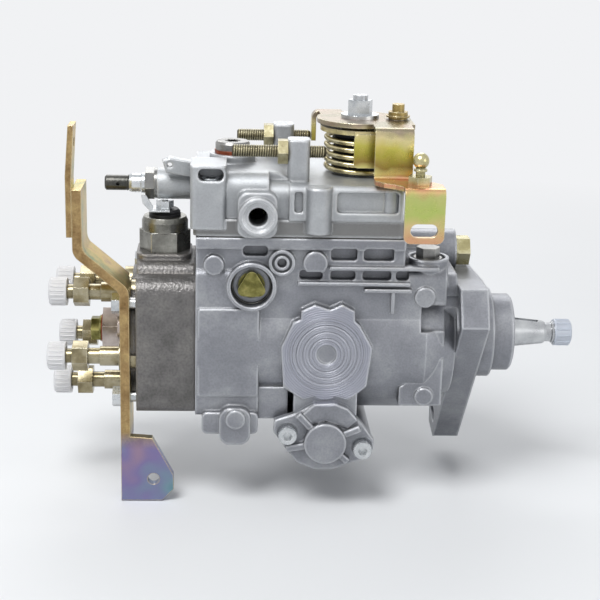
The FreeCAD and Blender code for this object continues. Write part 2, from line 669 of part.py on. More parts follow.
def timing_cover(name, sign):
    """A cast cover: many-sided plate, raised crown, upper lip, four ribs and two sunk screw seats."""
    at_y = sign * (side + 4.0)
    along = "-Y" if sign < 0 else "Y"
    foot = at_y if sign < 0 else at_y + d.timing_cover_thick
    high = foot if sign < 0 else foot + 1.4
    lip = [(-14, 14), (-6.1, 21.2), (4.5, 21.7), (11.9, 18.7), (17.4, 12.4), (12, 8), (0, 12), (-9, 10)]
    things = [
        plate(name + "_plate", TIMING_COVER_EDGE, d.timing_cover_thick - 1.6, (timing_x, foot, timing_z),
              FACING),
        rod(name + "_crown", 11.2, d.timing_cover_thick + 3.0, (timing_x, at_y, timing_z), along),
        plate(name + "_lip", lip, d.timing_cover_thick - 0.4, (timing_x, foot, timing_z), FACING),
    ]
    if sign > 0:
        things[0] = place(things[0], (timing_x, foot - 1.6, timing_z), FACING)
        things[2] = place(things[2], (timing_x, foot - 0.4, timing_z), FACING)
    for i, (angle, reach) in enumerate(((24, 20.2), (133, 21.5), (190, 21.0), (319, 16.6))):
        turn = FACING * FreeCAD.Rotation(V(0, 0, 1), angle)
        things.append(plate(f"{name}_rib_{i}", [(8, -1.7), (reach, -1.7), (reach, 1.7), (8, 1.7)],
                            d.timing_cover_thick + 1.4, (timing_x, high, timing_z), turn))
    solid = fuse(name + "_solid", *things)
    tools = []
    for i, (x, z) in enumerate(TIMING_SCREWS):
        far = at_y + sign * (d.timing_cover_thick - TIMING_SEAT_DEPTH)
        tools.append(rod(f"{name}_hole_{i}", 3, 40, (timing_x + x, at_y - 20.0, timing_z + z), "Y"))
        tools.append(rod(f"{name}_seat_{i}", 5.6, 10, (timing_x + x, far, timing_z + z), along))
    return cut(name, solid, *tools)


def timing_covers():
    return group("timing_covers", timing_cover("timing_cover_near", -1), timing_cover("timing_cover_far", 1))


def timing_piston():
    low = -side - 4.0 + gap
    solid = rod("piston_solid", d.timing_bore_radius, 2 * side - 14.0, (timing_x, low, timing_z), "Y")
    pocket = box("piston_slot", (timing_x - 4.3, -6.6, timing_z - 1.0),
                 (timing_x + 4.3, 5.0, timing_z + 20.0))
    bore = rod("piston_spring_bore", 7, 14, (timing_x, low + 2 * side - 26.0, timing_z), "Y")
    return cut("timing_piston", solid, pocket, bore)


def timing_spring():
    low = side - 30.0 + gap
    wire = 1.8
    length = n(side + 4.0 - low) - wire - 0.2
    return coil("timing_spring", 5, wire, length / 6, 6, (timing_x, low + wire / 2 + 0.1, timing_z), "Y")


# Hydraulic head and outlets


def hydraulic_head():
    length = d.head_length - 1.2
    shell = plate("head_block", arched(-d.head_side, d.head_side, -36, 38, 5, 9), length,
                  (rear - length, 0, 0), ALONG_X)
    top = plate("head_top", rounded(-24, 20, 24, d.head_height + 2.0, 6), length - 1.0,
                (rear - length, 0, 0), ALONG_X)
    seat = plate("solenoid_seat", rounded(-d.solenoid_x - 15.0, -15, -d.solenoid_x + 14.5, 15, 6), 16,
                 (0, 0, 30))
    spigot = rod("head_spigot", d.cavity_radius - d.running_clearance, 9, (rear, 0, 0), "X")
    rear_boss = rod("head_rear_boss", 35.5, 5, (plate_face, 0, 0), "X")
    solid = fuse("head_solid", shell, top, seat, spigot, rear_boss)
    tools = [
        rod("barrel_bore", 10, 48, (head_back + 11.0, 0, 0), "X"),
        rod("plug_bore", 8, 16, (plate_face - 1.0, 0, 0), "X"),
        rod("solenoid_bore", 9, 24, (-d.solenoid_x, 0, 30)),
    ]
    for i in range(5):
        tools.append(rod(f"outlet_bore_{i}", 7, 22, outlet_at(i, plate_face - 1.0), "X"))
        tools.append(rod(f"outlet_pocket_{i}", 4, 8, outlet_at(i, head_back + 18.0), "X"))
    for i, (y, z) in enumerate(HEAD_SCREWS):
        tools.append(rod(f"head_hole_{i}", 3, 60, (head_back - 10.0, y, z), "X"))
    for i, (x, y) in enumerate(SPRING_GUIDES):
        tools.append(rod(f"guide_hole_{i}", 3, 10, (rear, x, y), "X"))
    return cut("hydraulic_head", solid, *tools)


SPRING_GUIDES = ((-22.0, 0.0), (22.0, 0.0))


def hex_bolts():
    """Four bolts through the head; the two on the viewer's side also hold the bracket."""
    pieces = []
    for i, (y, z) in enumerate(HEAD_SCREWS):
        x = plate_face - d.bracket_thick if y < 0 else head_back + 1.2
        pieces.append(hex_bolt(f"head_screw_{i}", 3, n(rear) + 14.0 - n(x), 10, 4.5, (x, y, z), "X"))
    return group("hex_bolts", *pieces)


def distributor_barrel():
    return turned("distributor_barrel", [
        (d.plunger_radius + d.running_clearance, 0), (10, 0), (10, d.head_length - 2.0),
        (13, d.head_length - 2.0),
        (13, d.head_length + 1.0), (d.plunger_radius + d.running_clearance, d.head_length + 1.0)],
        (head_back + 11.0, 0, 0), "X")


def valve_holders():
    pieces = []
    reach = d.outlet_reach
    stub = d.outlet_thread_radius
    for i in range(5):
        solid = fuse(f"holder_solid_{i}",
                     turned(f"holder_{i}", [
                         (0, 2), (7, 2), (7, 14.3), (8, 14.3), (8, 20), (5.3, 20), (5.3, reach - 18.1),
                         (4.3, reach - 18.1), (4.3, reach - 11.0), (3.9, reach - 11.0), (3.9, reach + 0.2),
                         (stub, reach + 0.8),
                         (stub, reach + 6.6), (4.6, reach + 7.8), (0, reach + 7.8)]),
                     hexagon(f"holder_hex_{i}", d.outlet_hex_flats, 8.2, (0, 0, reach - 11.8), "Z", 18.0 * i))
        bore = turned(f"holder_bore_{i}", [(0, -1), (4.6, -1), (4.6, 18), (1.2, 21), (1.2, reach + 4.0),
                                           (3, reach + 9.0), (0, reach + 9.0)])
        piece = cut(f"valve_holder_{i}", solid, bore)
        pieces.append(place(piece, outlet_at(i, head_back + 12.0), "-X"))
    return group("valve_holders", *pieces)


def delivery_valves():
    pieces = []
    for i in range(5):
        pieces.append(turned(f"delivery_valve_{i}", [
            (0, 0), (2.6, 0), (2.6, 6), (4.2, 6), (4.2, 8.5), (2, 8.5), (2, 10), (0, 10)],
            outlet_at(i, head_back + 19.0), "-X"))
    return group("delivery_valves", *pieces)


def valve_springs():
    pieces = [coil(f"valve_spring_{i}", 3.4, 1.2, 2.1, 5, outlet_at(i, head_back + 9.6),
                   "-X") for i in range(5)]
    return group("valve_springs", *pieces)


def outlet_caps():
    pieces = []
    for i in range(5):
        shell = turned(f"cap_shell_{i}", [
            (d.outlet_thread_radius + 0.1, 0), (d.cap_radius - 0.4, 0), (d.cap_radius, 0.6),
            (d.cap_radius, d.cap_length - 0.8),
            (d.cap_radius - 0.8, d.cap_length), (0, d.cap_length), (0, d.cap_length - 1.4),
            (d.outlet_thread_radius + 0.1, d.cap_length - 1.4)])
        pieces.append(place(shell, outlet_at(i, head_back + 12.0 - d.outlet_reach), "-X"))
    return group("outlet_caps", *pieces)


def centre_plug():
    blank = turned_hex("plug_blank", 8, 12, d.plug_flats, 15.6, 12.5, 7.3, (plate_face - 16.8, 0, 0), "X", 10)
    return cut("centre_plug", blank, rod("plug_thread", 4, 40, (plate_face - 20.0, 0, 0), "X"))


def vent_bolt():
    return turned_hex("vent_bolt", 4, 16, d.vent_flats, 5.6, 7.2, 0.9, (plate_face - 23.4, 0, 0), "X", 25)


def turned_hex(name, radius, length, flats, head, collar, collar_thick, at, along, spin):
    """A plug with a hexagon head, a thin collar under it and a plain shank."""
    shank = rod(name + "_shank", radius, length, (0, 0, head))
    ring = rod(name + "_collar", collar, collar_thick, (0, 0, head - collar_thick))
    six = hexagon(name + "_hex", flats, head - collar_thick + 0.2, (0, 0, 0), "Z", spin)
    return place(fuse(name, shank, ring, six), at, along)


def washer(name, inner, outer, thick, at, along="Z"):
    return turned(name, [(inner, 0), (outer, 0), (outer, thick), (inner, thick)], at, along)


def copper_washers():
    return group("copper_washers",
                 washer("vent_washer", 4, 7.6, 1, (plate_face - 17.8, 0, 0), "X"),
                 washer("plug_washer", 8, 12.8, 1.2, (plate_face - 1.2, 0, 0), "X"),
                 washer("return_washer", 6, 9.6, 1.8, (-d.return_plug_x, 0, 99.5)))


# Stop solenoid


def solenoid_body():
    x = -d.solenoid_x
    six = hexagon("solenoid_hex", d.solenoid_flats, 11, (0, 0, 46), "Z", 0)
    can = turned("solenoid_can", [(0, 46), (11.5, 46), (11.5, 56), (d.solenoid_radius, 57),
                                  (d.solenoid_radius, 62),
                                  (11.4, 64.5), (0, 64.5)])
    stem = rod("solenoid_stem", 9, 14, (0, 0, 30))
    tail = rod("solenoid_stud", 2.5, 4.3, (0, 0, 64))
    solid = fuse("solenoid_solid", six, can, stem, tail)
    bore = rod("armature_bore", 5 + n(d.running_clearance), 20, (0, 0, 29))
    bore.setExpression("Radius", "5 + Sizes.running_clearance")
    return place(cut("solenoid_body", solid, bore), (x, 0, 0))


def solenoid_armature():
    return turned("solenoid_armature", [(0, 0), (1.2, 0), (3, 3), (5, 3), (5, 15), (0, 15)],
                  (-d.solenoid_x, 0, 30 + gap))


def solenoid_boot():
    z = 62.0
    return turned("solenoid_boot", [
        (2.5, 2.5), (8.6, 2.5), (8.6, 3.9), (7.9, 4.4), (8.4, 5), (7.2, 6.3), (2.5, 6.3)],
        (-d.solenoid_x, 0, z))


def solenoid_terminal():
    stud = rod("terminal_stud", 1.8, 4.8, (0, 0, 68.3))
    nut = hexagon("terminal_nut", 8.2, 3.6, (0, 0, 69.2))
    tail = box("terminal_tail", (-8, -10.4, 68.3), (3, 3, 69.2))
    tab = plate("terminal_tab", [(-7, 68.3), (-5.6, 71), (-9.6, 77.5), (-12.2, 77.5), (-11.4, 73)], 0.9,
                (0, -9.5, 0), FACING)
    return place(fuse("solenoid_terminal", stud, nut, tail, tab), (-d.solenoid_x, 0, 0))


# Rear bracket


def head_bracket():
    t = d.bracket_thick
    x = plate_face - t
    near = -d.bracket_side
    # Side view of the strip: the plate on the head, the bend, and the upper leg
    leg = x - d.bracket_offset
    profile = [(x, -50), (x + t, -50), (x + t, 31, 8), (x + t - 2.2, 35.6), (leg + t + 1.7, 52.4, -8),
               (leg + t, 57),
               (leg + t, d.bracket_top), (leg, d.bracket_top), (leg, 54.5, 8), (leg + 2.2, 49.6),
               (x - 1.4, 32.8, -8), (x, 30.2)]
    strip = plate("bracket_strip_solid", profile, 28, (0, near + 28.0, 0), FACING)
    foot = plate("bracket_foot", [(x, -50), (x, -85.6), (-172, -85.6), (-166, -79), (-166, -71),
                                  (-177.5, -49.5),
                                  (x + 4.0, -48.6)], t, (0, near + t, 0), FACING)
    neck = box("bracket_neck", (x, near, -56), (x + t, near + 28.0, -44))
    tools = [rod(f"bracket_hole_{i}", 3, 60, (x - 20.0, y, z), "X") for i,
             (y, z) in enumerate(HEAD_SCREWS) if y < 0]
    for i in range(3):
        tools.append(rod(f"bracket_gap_{i}", 9.5, 30, outlet_at(i, x - 10.0), "X"))
    tools.append(rod("bracket_centre_gap", 15.2, 30, (x - 10.0, 0, 0), "X"))
    tools.append(rod("foot_hole", d.foot_hole_radius, 20, (-176.8, near - 5.0, -73), "Y"))
    return cut("head_bracket", fuse("bracket_solid", strip, foot, neck), *tools)


def upper_strip():
    t = d.strip_thick
    near = -d.bracket_side
    back = plate_face - d.bracket_thick - d.bracket_offset
    profile = [(back - t, 61), (back, 61), (back, 91), (back + 1.8, d.strip_top),
               (back + 1.8 - 0.95 * t, d.strip_top),
               (back - t, 93)]
    solid = plate("upper_strip_solid", profile, 14, (0, near + 14.0, 0), FACING)
    return cut("upper_strip", solid, rod("strip_top_hole", 2.6, 20,
                                         (back - 8.0, near + 7.0, d.strip_top - 9.5), "X"))


# Plugs, valve and screws on the outside


def regulating_valve():
    low = d.valve_boss_top
    six = hexagon("valve_hex", 11, 5.6, (0, 0, low - 0.4))
    collar = rod("valve_collar", 7.6, 1.6, (0, 0, low - 2.0))
    stem = rod("valve_stem", 7, 6.0, (0, 0, low - 7.0 + gap))
    return place(fuse("regulating_valve", six, collar, stem), (-d.valve_boss_x, -d.valve_boss_y, 0))


def inlet_plug():
    ring = washer("inlet_washer", 6, 8.3, 1.4, (0, 0, -1.4))
    six = hexagon("inlet_hex", 15, 7, (0, 0, 0), "Z", 30)
    return place(fuse("inlet_plug", six, rod("inlet_shank", 6, 16, (0, 0, -16)), ring),
                 (-8.6, d.inlet_y, d.inlet_height), "X")


def inspection_plug():
    """The plug in the ringed boss: a threaded core under a head with three round corners."""
    lobe, reach = 3.2, 4.6
    corners = []
    for i in range(3):
        a = 90 + 120 * i
        x, y = reach * cosd(a), reach * sind(a)
        corners.append((x + lobe * cosd(a - 60), y + lobe * sind(a - 60), lobe))
        corners.append((x + lobe * cosd(a + 60), y + lobe * sind(a + 60)))
    head = plate("window_plug_head", corners, 3.4)
    core = rod("window_plug_core", 7, 7, (0, 0, -7))
    return place(fuse("inspection_plug", core, head), (-d.window_x, -side + 1.5, d.window_height), "-Y")


def return_plug():
    head = turned("return_head", [(0, 0), (9.2, 0), (9.2, 3.4), (8.4, 4.6), (0, 4.6)])
    shank = rod("return_shank", 6, 14, (0, 0, -14))
    star = [rod(f"return_lobe_{i}", 1.4, 4, (2.9 * cosd(60 * i), 2.9 * sind(60 * i), 1.8)) for i in range(6)]
    core = rod("return_core", 2.9, 4, (0, 0, 1.8))
    return place(cut("return_plug", fuse("return_solid", head, shank), core, *star),
                 (-d.return_plug_x, 0, 101.3))


def full_load_screw():
    """The adjusting screw with the dark sleeve that hides its slotted end."""
    shank = rod("full_load_shank", d.full_load_radius, 38, (0, 0, 0))
    sleeve = turned("full_load_sleeve", [(0, 33.6), (3.2, 33.6), (3.2, 34.6), (4.1, 34.6), (4.1, 44.8),
                                         (3.2, 45.6), (0, 45.6)])
    hole = rod("sleeve_hole", 0.9, 20, (0, 0, 38.5), "-Y")
    whole = cut("full_load_screw", fuse("full_load_solid", shank, sleeve), hole)
    return place(whole, (-158.6, 0, d.full_load_height), "-X")


def tamper_collar():
    r = d.full_load_radius
    return turned("tamper_collar", [(r, 0), (5.6, 0), (5.6, 1.8), (5.1, 2.4), (5.1, 7), (4.6, 8.5), (r, 8.5)],
                  (-182.6, 0, d.full_load_height), "-X")


def stop_screws():
    pieces = []
    for i, (x0, x1, sign) in enumerate(((-136.3, -87.4, -1), (-133.4, -92.8, 1))):
        pieces.append(turned(f"stop_screw_{i}",
                             [(0, 0), (2.3, 0), (3, 0.7), (d.stop_screw_radius, x1 - x0 - 1.0),
                                                 (2.2, x1 - x0), (0, x1 - x0)],
                             (x0, sign * d.tower_side, d.stop_screw_height), "X"))
    return group("stop_screws", *pieces)


def lock_nuts():
    pieces = []
    for i, (x, sign) in enumerate(((-107.3, -1), (-113.4, 1))):
        six = hexagon(f"stop_nut_hex_{i}", d.stop_nut_flats, 5.2, (0, 0, 0), "Z", 30)
        hole = rod(f"stop_nut_hole_{i}", d.stop_screw_radius, 8, (0, 0, -1))
        pieces.append(place(cut(f"stop_nut_{i}", six, hole), (x, sign * d.tower_side, d.stop_screw_height),
                            "-X"))
    six = hexagon("load_nut_hex", 15, 4.8, (0, 0, 1.6), "Z", 20)
    ring = rod("load_nut_washer", 8.2, 1.6)
    hole = rod("load_nut_hole", d.full_load_radius, 12, (0, 0, -1))
    pieces.append(place(cut("load_nut", fuse("load_nut_solid", six, ring), hole),
                        (-176, 0, d.full_load_height), "-X"))
    return group("lock_nuts", *pieces)


# Throttle lever


def throttle_lever():
    """A pressed lever in two plates: round top, first drop, curved ledge and outer drop with its slot."""
    x = lever_x
    z = d.lever_height
    t = d.lever_plate
    r = d.lever_bend_radius
    inner = r - t
    y = -d.lever_bend_y
    low = d.ledge_height
    under_z = z - t - 1.6
    left = x + 5.0
    disc = rod("lever_disc", d.lever_disc_radius, t, (x, 0, z))
    arm = plate("lever_arm_plate", [(x, -22.5), (x + 27, -22.5), (x + 27, 9, 4), (x + 23, 13), (x, 13)], t,
                (0, 0, z))
    tongue = plate("lever_tongue", [(x + 5, y + r), (x + 25, y + r), (x + 25, -20), (x + 5, -20)], t,
                   (0, 0, z))
    drop = plate("lever_drop", [
        (y + r, z), (y + r, z + t), (y + r - 0.01, z + t, r), (y, z + t - r), (y, low + t + inner, -inner),
        (y - inner, low + t), (y - r, low + t), (y - r, low), (y - inner, low, r), (y + t, low + r),
        (y + t, z - inner, -inner)], d.lever_bend_width, (left, 0, 0), ALONG_X)
    ledge = plate("lever_ledge", [
        (left, y - inner), (left, y - 6.0), (left + 4.0, y - 11.5), (x + 14.5, y - 15.5),
        (x + 18.2, y - 20.0),
        (x + 18.2, -60), (x + 38.7, -60), (x + 38.7, -50), (x + 35.0, y - 8.0), (x + 25.0, y - 4.0),
        (x + 25.0, y - inner)], t, (0, 0, low))
    face = -d.outer_drop_y
    bent = plate("outer_bend", [
        (-60, low), (-60, low + t, r), (face, low + t - r), (face, d.outer_drop_low),
        (face + t, d.outer_drop_low),
        (face + t, low - inner, -inner)], d.outer_drop_width, (x + 18.2, 0, 0), ALONG_X)
    outline = plate("outer_outline", rounded(x + 18.2, d.outer_drop_low, x + 38.7, low + 20.0, 3.6), 12,
                    (0, -56, 0), FACING)
    outer = doc.addObject("Part::MultiCommon", "outer_drop")
    outer.Shapes = [bent, outline]
    under = rod("lever_under", 21, t, (x, 0, under_z))
    spacer = rod("lever_spacer", 9, 1.6, (x, 0, z - 1.6))
    bend = x - 20.5
    tab_low = d.stop_screw_height - 2.0
    tab = plate("stop_tab", [(x - 12, z), (x - 12, z + t), (bend, z + t, r), (bend - r, z + t - r),
                             (bend - r, tab_low),
                             (bend + t - r, tab_low), (bend + t - r, z - inner, -inner), (bend, z)],
                7.5, (0, 28, 0), FACING)
    tab_root = box("stop_tab_root", (x - 20.5, 12, z), (x - 8.0, 28, z + t))
    catch = plate("catch", rounded(x - 4.5, 96, x + 8.5, under_z + 1.0, 2.6), t, (0, -19.4, 0), FACING)
    catch_root = box("catch_root", (x - 4.5, -21.5, under_z), (x + 8.5, -16, under_z + t))
    stud = rod("clip_stud", 3.3, 8.2, (x + 20.0, -4, z + t))
    stud_base = rod("clip_base", 5.2, 4.2, (x + 20.0, -4, z + t))
    clip = rod("clip_ring", 6.4, 0.8, (x + 20.0, -4, z + t + 1.4))
    solid = fuse("lever_solid", disc, arm, tongue, drop, ledge, outer, under, spacer, tab, tab_root, catch,
                 catch_root, stud,
                 stud_base, clip)
    tools = [
        rod("lever_hole", d.lever_shaft_radius, 30, (x, 0, z - 15.0)),
        plate("lever_slot", slot(3.4, 3.5), 10, (x + 28.4, -58, 72.6), FACING),
        rod("ball_hole", 3, 20, (x + 27.2, -49, 80)),
    ]
    return cut("throttle_lever", solid, *tools)


def lever_shaft():
    r = d.lever_shaft_radius
    return turned("lever_shaft", [
        (0, 0), (r, 0), (r, d.lever_height + d.lever_plate - 66.0),
        (4, d.lever_height + d.lever_plate - 66.0),
        (4, 65.6), (0, 65.6)], (lever_x, 0, 66))


def lever_nut():
    z = d.lever_height + d.lever_plate
    six = hexagon("lever_nut_hex", 11.6, 7.6, (lever_x, 0, z + 2.0), "Z", 10)
    flat = rod("lever_nut_washer", 10.2, 2.0, (lever_x, 0, z))
    hole = rod("lever_nut_hole", 4, 20, (lever_x, 0, z - 7.0))
    return cut("lever_nut", fuse("lever_nut_solid", six, flat), hole)


def ball_stud():
    x = lever_x + 27.2
    low = d.ledge_height + d.lever_plate
    six = hexagon("ball_hex", 11, 4, (x, -49, low), "Z", 12)
    stem = rod("ball_stem", 2.4, 13, (x, -49, low))
    shank = rod("ball_shank", 3, 6.5, (x, -49, low - 6.5))
    collar = rod("ball_collar", 3.4, 1.2, (x, -49, low + 6.6))
    return fuse("ball_stud", six, stem, shank, collar, ball("ball", 4.2, (x, -49, low + 11.8)))


def spring_bushing():
    r = d.lever_shaft_radius
    length = d.lever_height - d.deck_height - 8.0
    ribs = [(r + d.running_clearance, 0), (14.5, 0)]
    for i in range(4):
        foot = length * (0.26 * i) + 2.2
        ribs += [(14.5, foot), (13, foot + 0.8), (13, foot + 2.0), (14.5, foot + 2.8)]
    ribs += [(14.5, length), (r + d.running_clearance, length)]
    return turned("spring_bushing", ribs, (lever_x, 0, d.deck_height + 2.0))


def return_spring():
    turns = 5
    height = n(d.lever_height) - n(d.deck_height) - 7.0
    return coil("return_spring", n(d.spring_radius), n(d.spring_wire), height / turns, turns,
                (lever_x, 0, d.deck_height + 1.2), around=18, sides=6)


# Drive shaft group


def drive_shaft():
    r = d.shaft_radius
    t = d.shaft_thread_radius
    turned_blank = turned("shaft_blank", [
        (0, -71.5), (14, -71.5), (14, -61.5), (r, -61.5), (r, 14), (d.taper_radius, d.taper_start),
        (6.5, d.taper_end),
        (5.9, d.taper_end + 1.2), (5.3, d.taper_end + 1.2), (5.3, d.shaft_cap_start - 1.8),
        (t, d.shaft_cap_start - 1.2),
        (t, d.shaft_tip - 1.0), (t - 1.0, d.shaft_tip), (0, d.shaft_tip)], (0, 0, 0), "X")
    jaw = box("jaw_gap", (-73, -20, -6.2), (-63.5, 20, 6.2))
    key = plate("keyway", [(-1, -d.key_width / 2), (13.5, -d.key_width / 2), (14.4, 0),
                           (13.5, d.key_width / 2),
                           (-1, d.key_width / 2)], 6, (22.6, 0, 5.4))
    return cut("drive_shaft", turned_blank, jaw, key)


def shaft_cap():
    t = d.shaft_thread_radius
    shell = turned("shaft_cap_shell", [
        (t, 0), (6.9, 0), (7.2, 0.6), (7.2, 8.4), (6.5, 9.6), (0, 9.6), (0, 8.2), (t, 8.2)], (0, 0, 0))
    ribs = [box(f"cap_rib_{i}", (0, -0.5, 0.8), (1.0, 0.5, 8.2)) for i in range(12)]
    for i, rib in enumerate(ribs):
        place(rib, (6.8 * cosd(30 * i) + 0.5 * sind(30 * i), 6.8 * sind(30 * i) - 0.5 * cosd(30 * i), 0.8),
              "Z", 30 * i)
    return place(fuse("shaft_cap", shell, *ribs), (d.shaft_cap_start, 0, 0), "X")


def shaft_bush():
    return washer("shaft_bush", d.shaft_radius + d.running_clearance, 13, 26, (-22, 0, 0), "X")


def shaft_seal():
    r = d.shaft_radius + d.running_clearance
    return turned("shaft_seal", [(r, 0), (15, 0), (15, 7), (14, 7), (14, 1.4), (11.6, 1.4), (r, 5)],
                  (6.4, 0, 0), "X")


# Feed pump, with its vanes in the rotor's slots


def feed_rings():
    """The eccentric ring that the vanes run in, and the support ring that closes it."""
    start = -d.feed_front - d.feed_width
    outer = rod("feed_ring_solid", d.cavity_radius, d.feed_width, (start, 0, 0), "X")
    inner = rod("feed_ring_bore", d.feed_ring_radius, d.feed_width + 2.0, (start - 1.0, 0, d.feed_offset),
                "X")
    solid = rod("support_solid", d.cavity_radius, 4, (start - 4.0, 0, 0), "X")
    bore = rod("support_bore", d.shaft_radius + 0.5, 6, (start - 5.0, 0, 0), "X")
    ports = [rod(f"support_port_{i}", 3, 6, (start - 5.0, y, 0), "X") for i, y in enumerate((-28.0, 28.0))]
    return group("feed_rings", cut("eccentric_ring", outer, inner), cut("support_ring", solid, bore, *ports))


def feed_rotor():
    width = d.feed_width - 0.2
    start = -d.feed_front - d.feed_width + 0.1
    reach = d.feed_ring_radius - d.feed_offset - 0.1
    solid = rod("rotor_solid", reach - 1.4, width, (start, 0, 0), "X")
    tools = [rod("rotor_bore", d.shaft_radius, 30, (start - 5.0, 0, 0), "X")]
    vanes = []
    for i in range(4):
        slot_box = box(f"vane_slot_{i}", (-1, -1.5, 12.5), (20, 1.5, 40))
        place(slot_box, (start - 1.0, -1.5 * cosd(90 * i) - 12.5 * sind(90 * i),
                         12.5 * cosd(90 * i) - 1.5 * sind(90 * i)),
              FreeCAD.Rotation(V(1, 0, 0), 90 * i))
        tools.append(slot_box)
    rotor = cut("rotor_slotted", solid, *tools)
    for i in range(4):
        vane = box(f"vane_{i}", (0, 0, 0), (width, 3.0, reach - 12.6))
        place(vane, (start, -1.5 * cosd(90 * i) - 12.6 * sind(90 * i),
                     12.6 * cosd(90 * i) - 1.5 * sind(90 * i)),
              FreeCAD.Rotation(V(1, 0, 0), 90 * i))
        vanes.append(vane)
    return group("feed_rotor", rotor, *vanes)


# Governor drive


def gear(name, teeth, module, width, bore, at, spin):
    """A spur gear with straight-sided teeth, drawn as one closed outline."""
    pitch = module * teeth / 2.0
    root = pitch - 1.15 * module
    tip = pitch + 0.9 * module
    step = 360.0 / teeth
    points = []
    for i in range(int(teeth)):
        a = i * step + spin
        for radius, offset in ((root, -0.30), (tip, -0.12), (tip, 0.12), (root, 0.30)):
            points.append(V(radius * cosd(a + offset * step), radius * sind(a + offset * step), 0))
    face = Part.Face(Part.Wire(Part.makePolygon(points + points[:1]).Edges))
    solid = face.extrude(V(0, 0, width)).cut(Part.makeCylinder(bore, width + 2, V(0, 0, -1)))
    thing = doc.addObject("Part::Feature", name)
    thing.Shape = solid
    return place(thing, at, "X")


def drive_gear():
    return gear("drive_gear", n(d.drive_gear_teeth), n(d.gear_module), n(d.gear_width), n(d.shaft_radius),
                (-59.5, 0, 0), 0.0)


def governor_carrier():
    """The driven gear with the cage that holds the four flyweights."""
    wheel = gear("governor_gear", n(d.governor_gear_teeth), n(d.gear_module), n(d.gear_width) - 0.4,
                 n(d.governor_shaft_radius) + n(d.running_clearance), (-59.3, 0, d.governor_height), 7.5)
    cage = turned("cage_disc", [(d.governor_shaft_radius + d.running_clearance, 0), (19.5, 0), (19.5, 3),
                                (10, 3), (10, 3.6),
                                (d.governor_shaft_radius + d.running_clearance, 3.6)],
                                (-62.8, 0, d.governor_height), "X")
    ears = []
    for i in range(4):
        a = 45 + 90 * i
        ear = box(f"cage_ear_{i}", (0, 0, 0), (14.5, 3, 3))
        ears.append(place(ear, (-76.6, 17.6 * cosd(a) - 1.5 * (cosd(a) - sind(a)),
                                d.governor_height + 17.6 * sind(a) - 1.5 * (cosd(a) + sind(a))),
                          FreeCAD.Rotation(V(1, 0, 0), a)))
    return fuse("governor_carrier", wheel, cage, *ears)


# Where a flyweight's pin is, from the weight's free end and from the governor's axis
PIVOT_X = 11.8
PIVOT_Z = 13.5


def flyweight(i):
    a = 90 * i
    weight = box(f"weight_{i}", (0.7, -5.5, 9), (PIVOT_X + 0.4, 5.5, 16.5))
    toe = box(f"weight_toe_{i}", (10, -2.5, 5.6), (12.3, 2.5, 12))
    pin = rod(f"weight_pin_{i}", 1.5, 12.4, (PIVOT_X, -6.2, PIVOT_Z), "Y")
    solid = fuse(f"flyweight_solid_{i}", weight, toe, pin)
    return place(copy_of(solid, f"flyweight_{i + 1}"), (-76.3, 0, d.governor_height),
                 FreeCAD.Rotation(V(1, 0, 0), a))


def governor_shaft():
    return turned("governor_shaft", [(0, 0), (d.governor_shaft_radius, 0), (d.governor_shaft_radius, 39),
                                     (0, 39)],
                  (-80, 0, d.governor_height), "X")


def governor_sleeve():
    r = d.governor_shaft_radius + d.running_clearance
    return turned("governor_sleeve", [(0, 0), (5.4, 0), (5.4, 15), (7.4, 15), (7.4, 17), (r, 17), (r, 2),
                                      (0, 2)],
                  (-83.6, 0, d.governor_height), "X")


# Cam drive


def cross_coupling():
    return fuse("cross_coupling",
                washer("coupling_disc", 4, 13, 3, (-75.2, 0, 0), "X"),
                box("coupling_bar", (-73.2, -12.5, -6), (-63.9, 12.5, 6)),
                box("coupling_key", (-83, -6, -12.5), (-74, 6, 12.5)))


def roller_ring():
    solid = turned("roller_ring_solid", [(15.5, 0), (d.cavity_radius - 0.05, 0),
                                         (d.cavity_radius - 0.05, 16), (15.5, 16)],
                   (-93, 0, 0), "X")
    tools = []
    for i in range(5):
        a = 72 * i + 54
        pocket = rod(f"roller_pocket_{i}", d.roller_radius + 0.3, 13, (0, 0, 18.7))
        tools.append(place(pocket, (-90.3, -18.7 * sind(a), 18.7 * cosd(a)), FreeCAD.Rotation(V(1, 0, 0), a)))
    pin = rod("timing_pin", 4, 20, (timing_x, 0, timing_z - 0.7))
    return fuse("roller_ring", cut("roller_ring_cut", solid, *tools), pin)


def rollers():
    pieces = []
    for i in range(5):
        a = 72 * i + 54
        roller = rod(f"roller_{i}", d.roller_radius, 12.2)
        pieces.append(place(roller, (-90.3, -19.0 * sind(a), 19.0 * cosd(a)),
                            FreeCAD.Rotation(V(1, 0, 0), a)))
    return group("rollers", *pieces)


def cam_plate():
    """The face cam: one ramped lobe for each cylinder, on the side of the rollers."""
    disc = turned("cam_disc", [(0, 0), (d.cam_radius, 0), (d.cam_radius, 6), (0, 6)], (-104.5, 0, 0), "X")
    jaws = [box(f"cam_jaw_{i}", (-99, y, -8.5), (-77, y + 5.7, 8.5)) for i, y in enumerate((-12.0, 6.3))]
    outward = FreeCAD.Rotation(V(0, 1, 0), V(1, 0, 0), V(0, 0, -1), "XYZ")
    lobes = []
    for i in range(5):
        a = 72 * i + 90
        lobe = plate(f"lobe_{i}", [(-11, 0), (11, 0), (4, d.cam_lift), (-4, d.cam_lift)], 9,
                     (-98.5, -30.0 * sind(a), 30.0 * cosd(a)), FreeCAD.Rotation(V(1, 0, 0), a) * outward)
        lobes.append(lobe)
    return fuse("cam_plate", disc, *jaws, *lobes)


def distributor_plunger():
    r = d.plunger_radius
    solid = turned("plunger_solid", [(0, 0), (r, 0), (r, 65), (9, 65), (9, 68.5), (0, 68.5)], (-173, 0, 0),
                   "X")
    groove = box("plunger_slit", (-166, -0.8, 2.6), (-158, 0.8, 8))
    return cut("distributor_plunger", solid, groove)


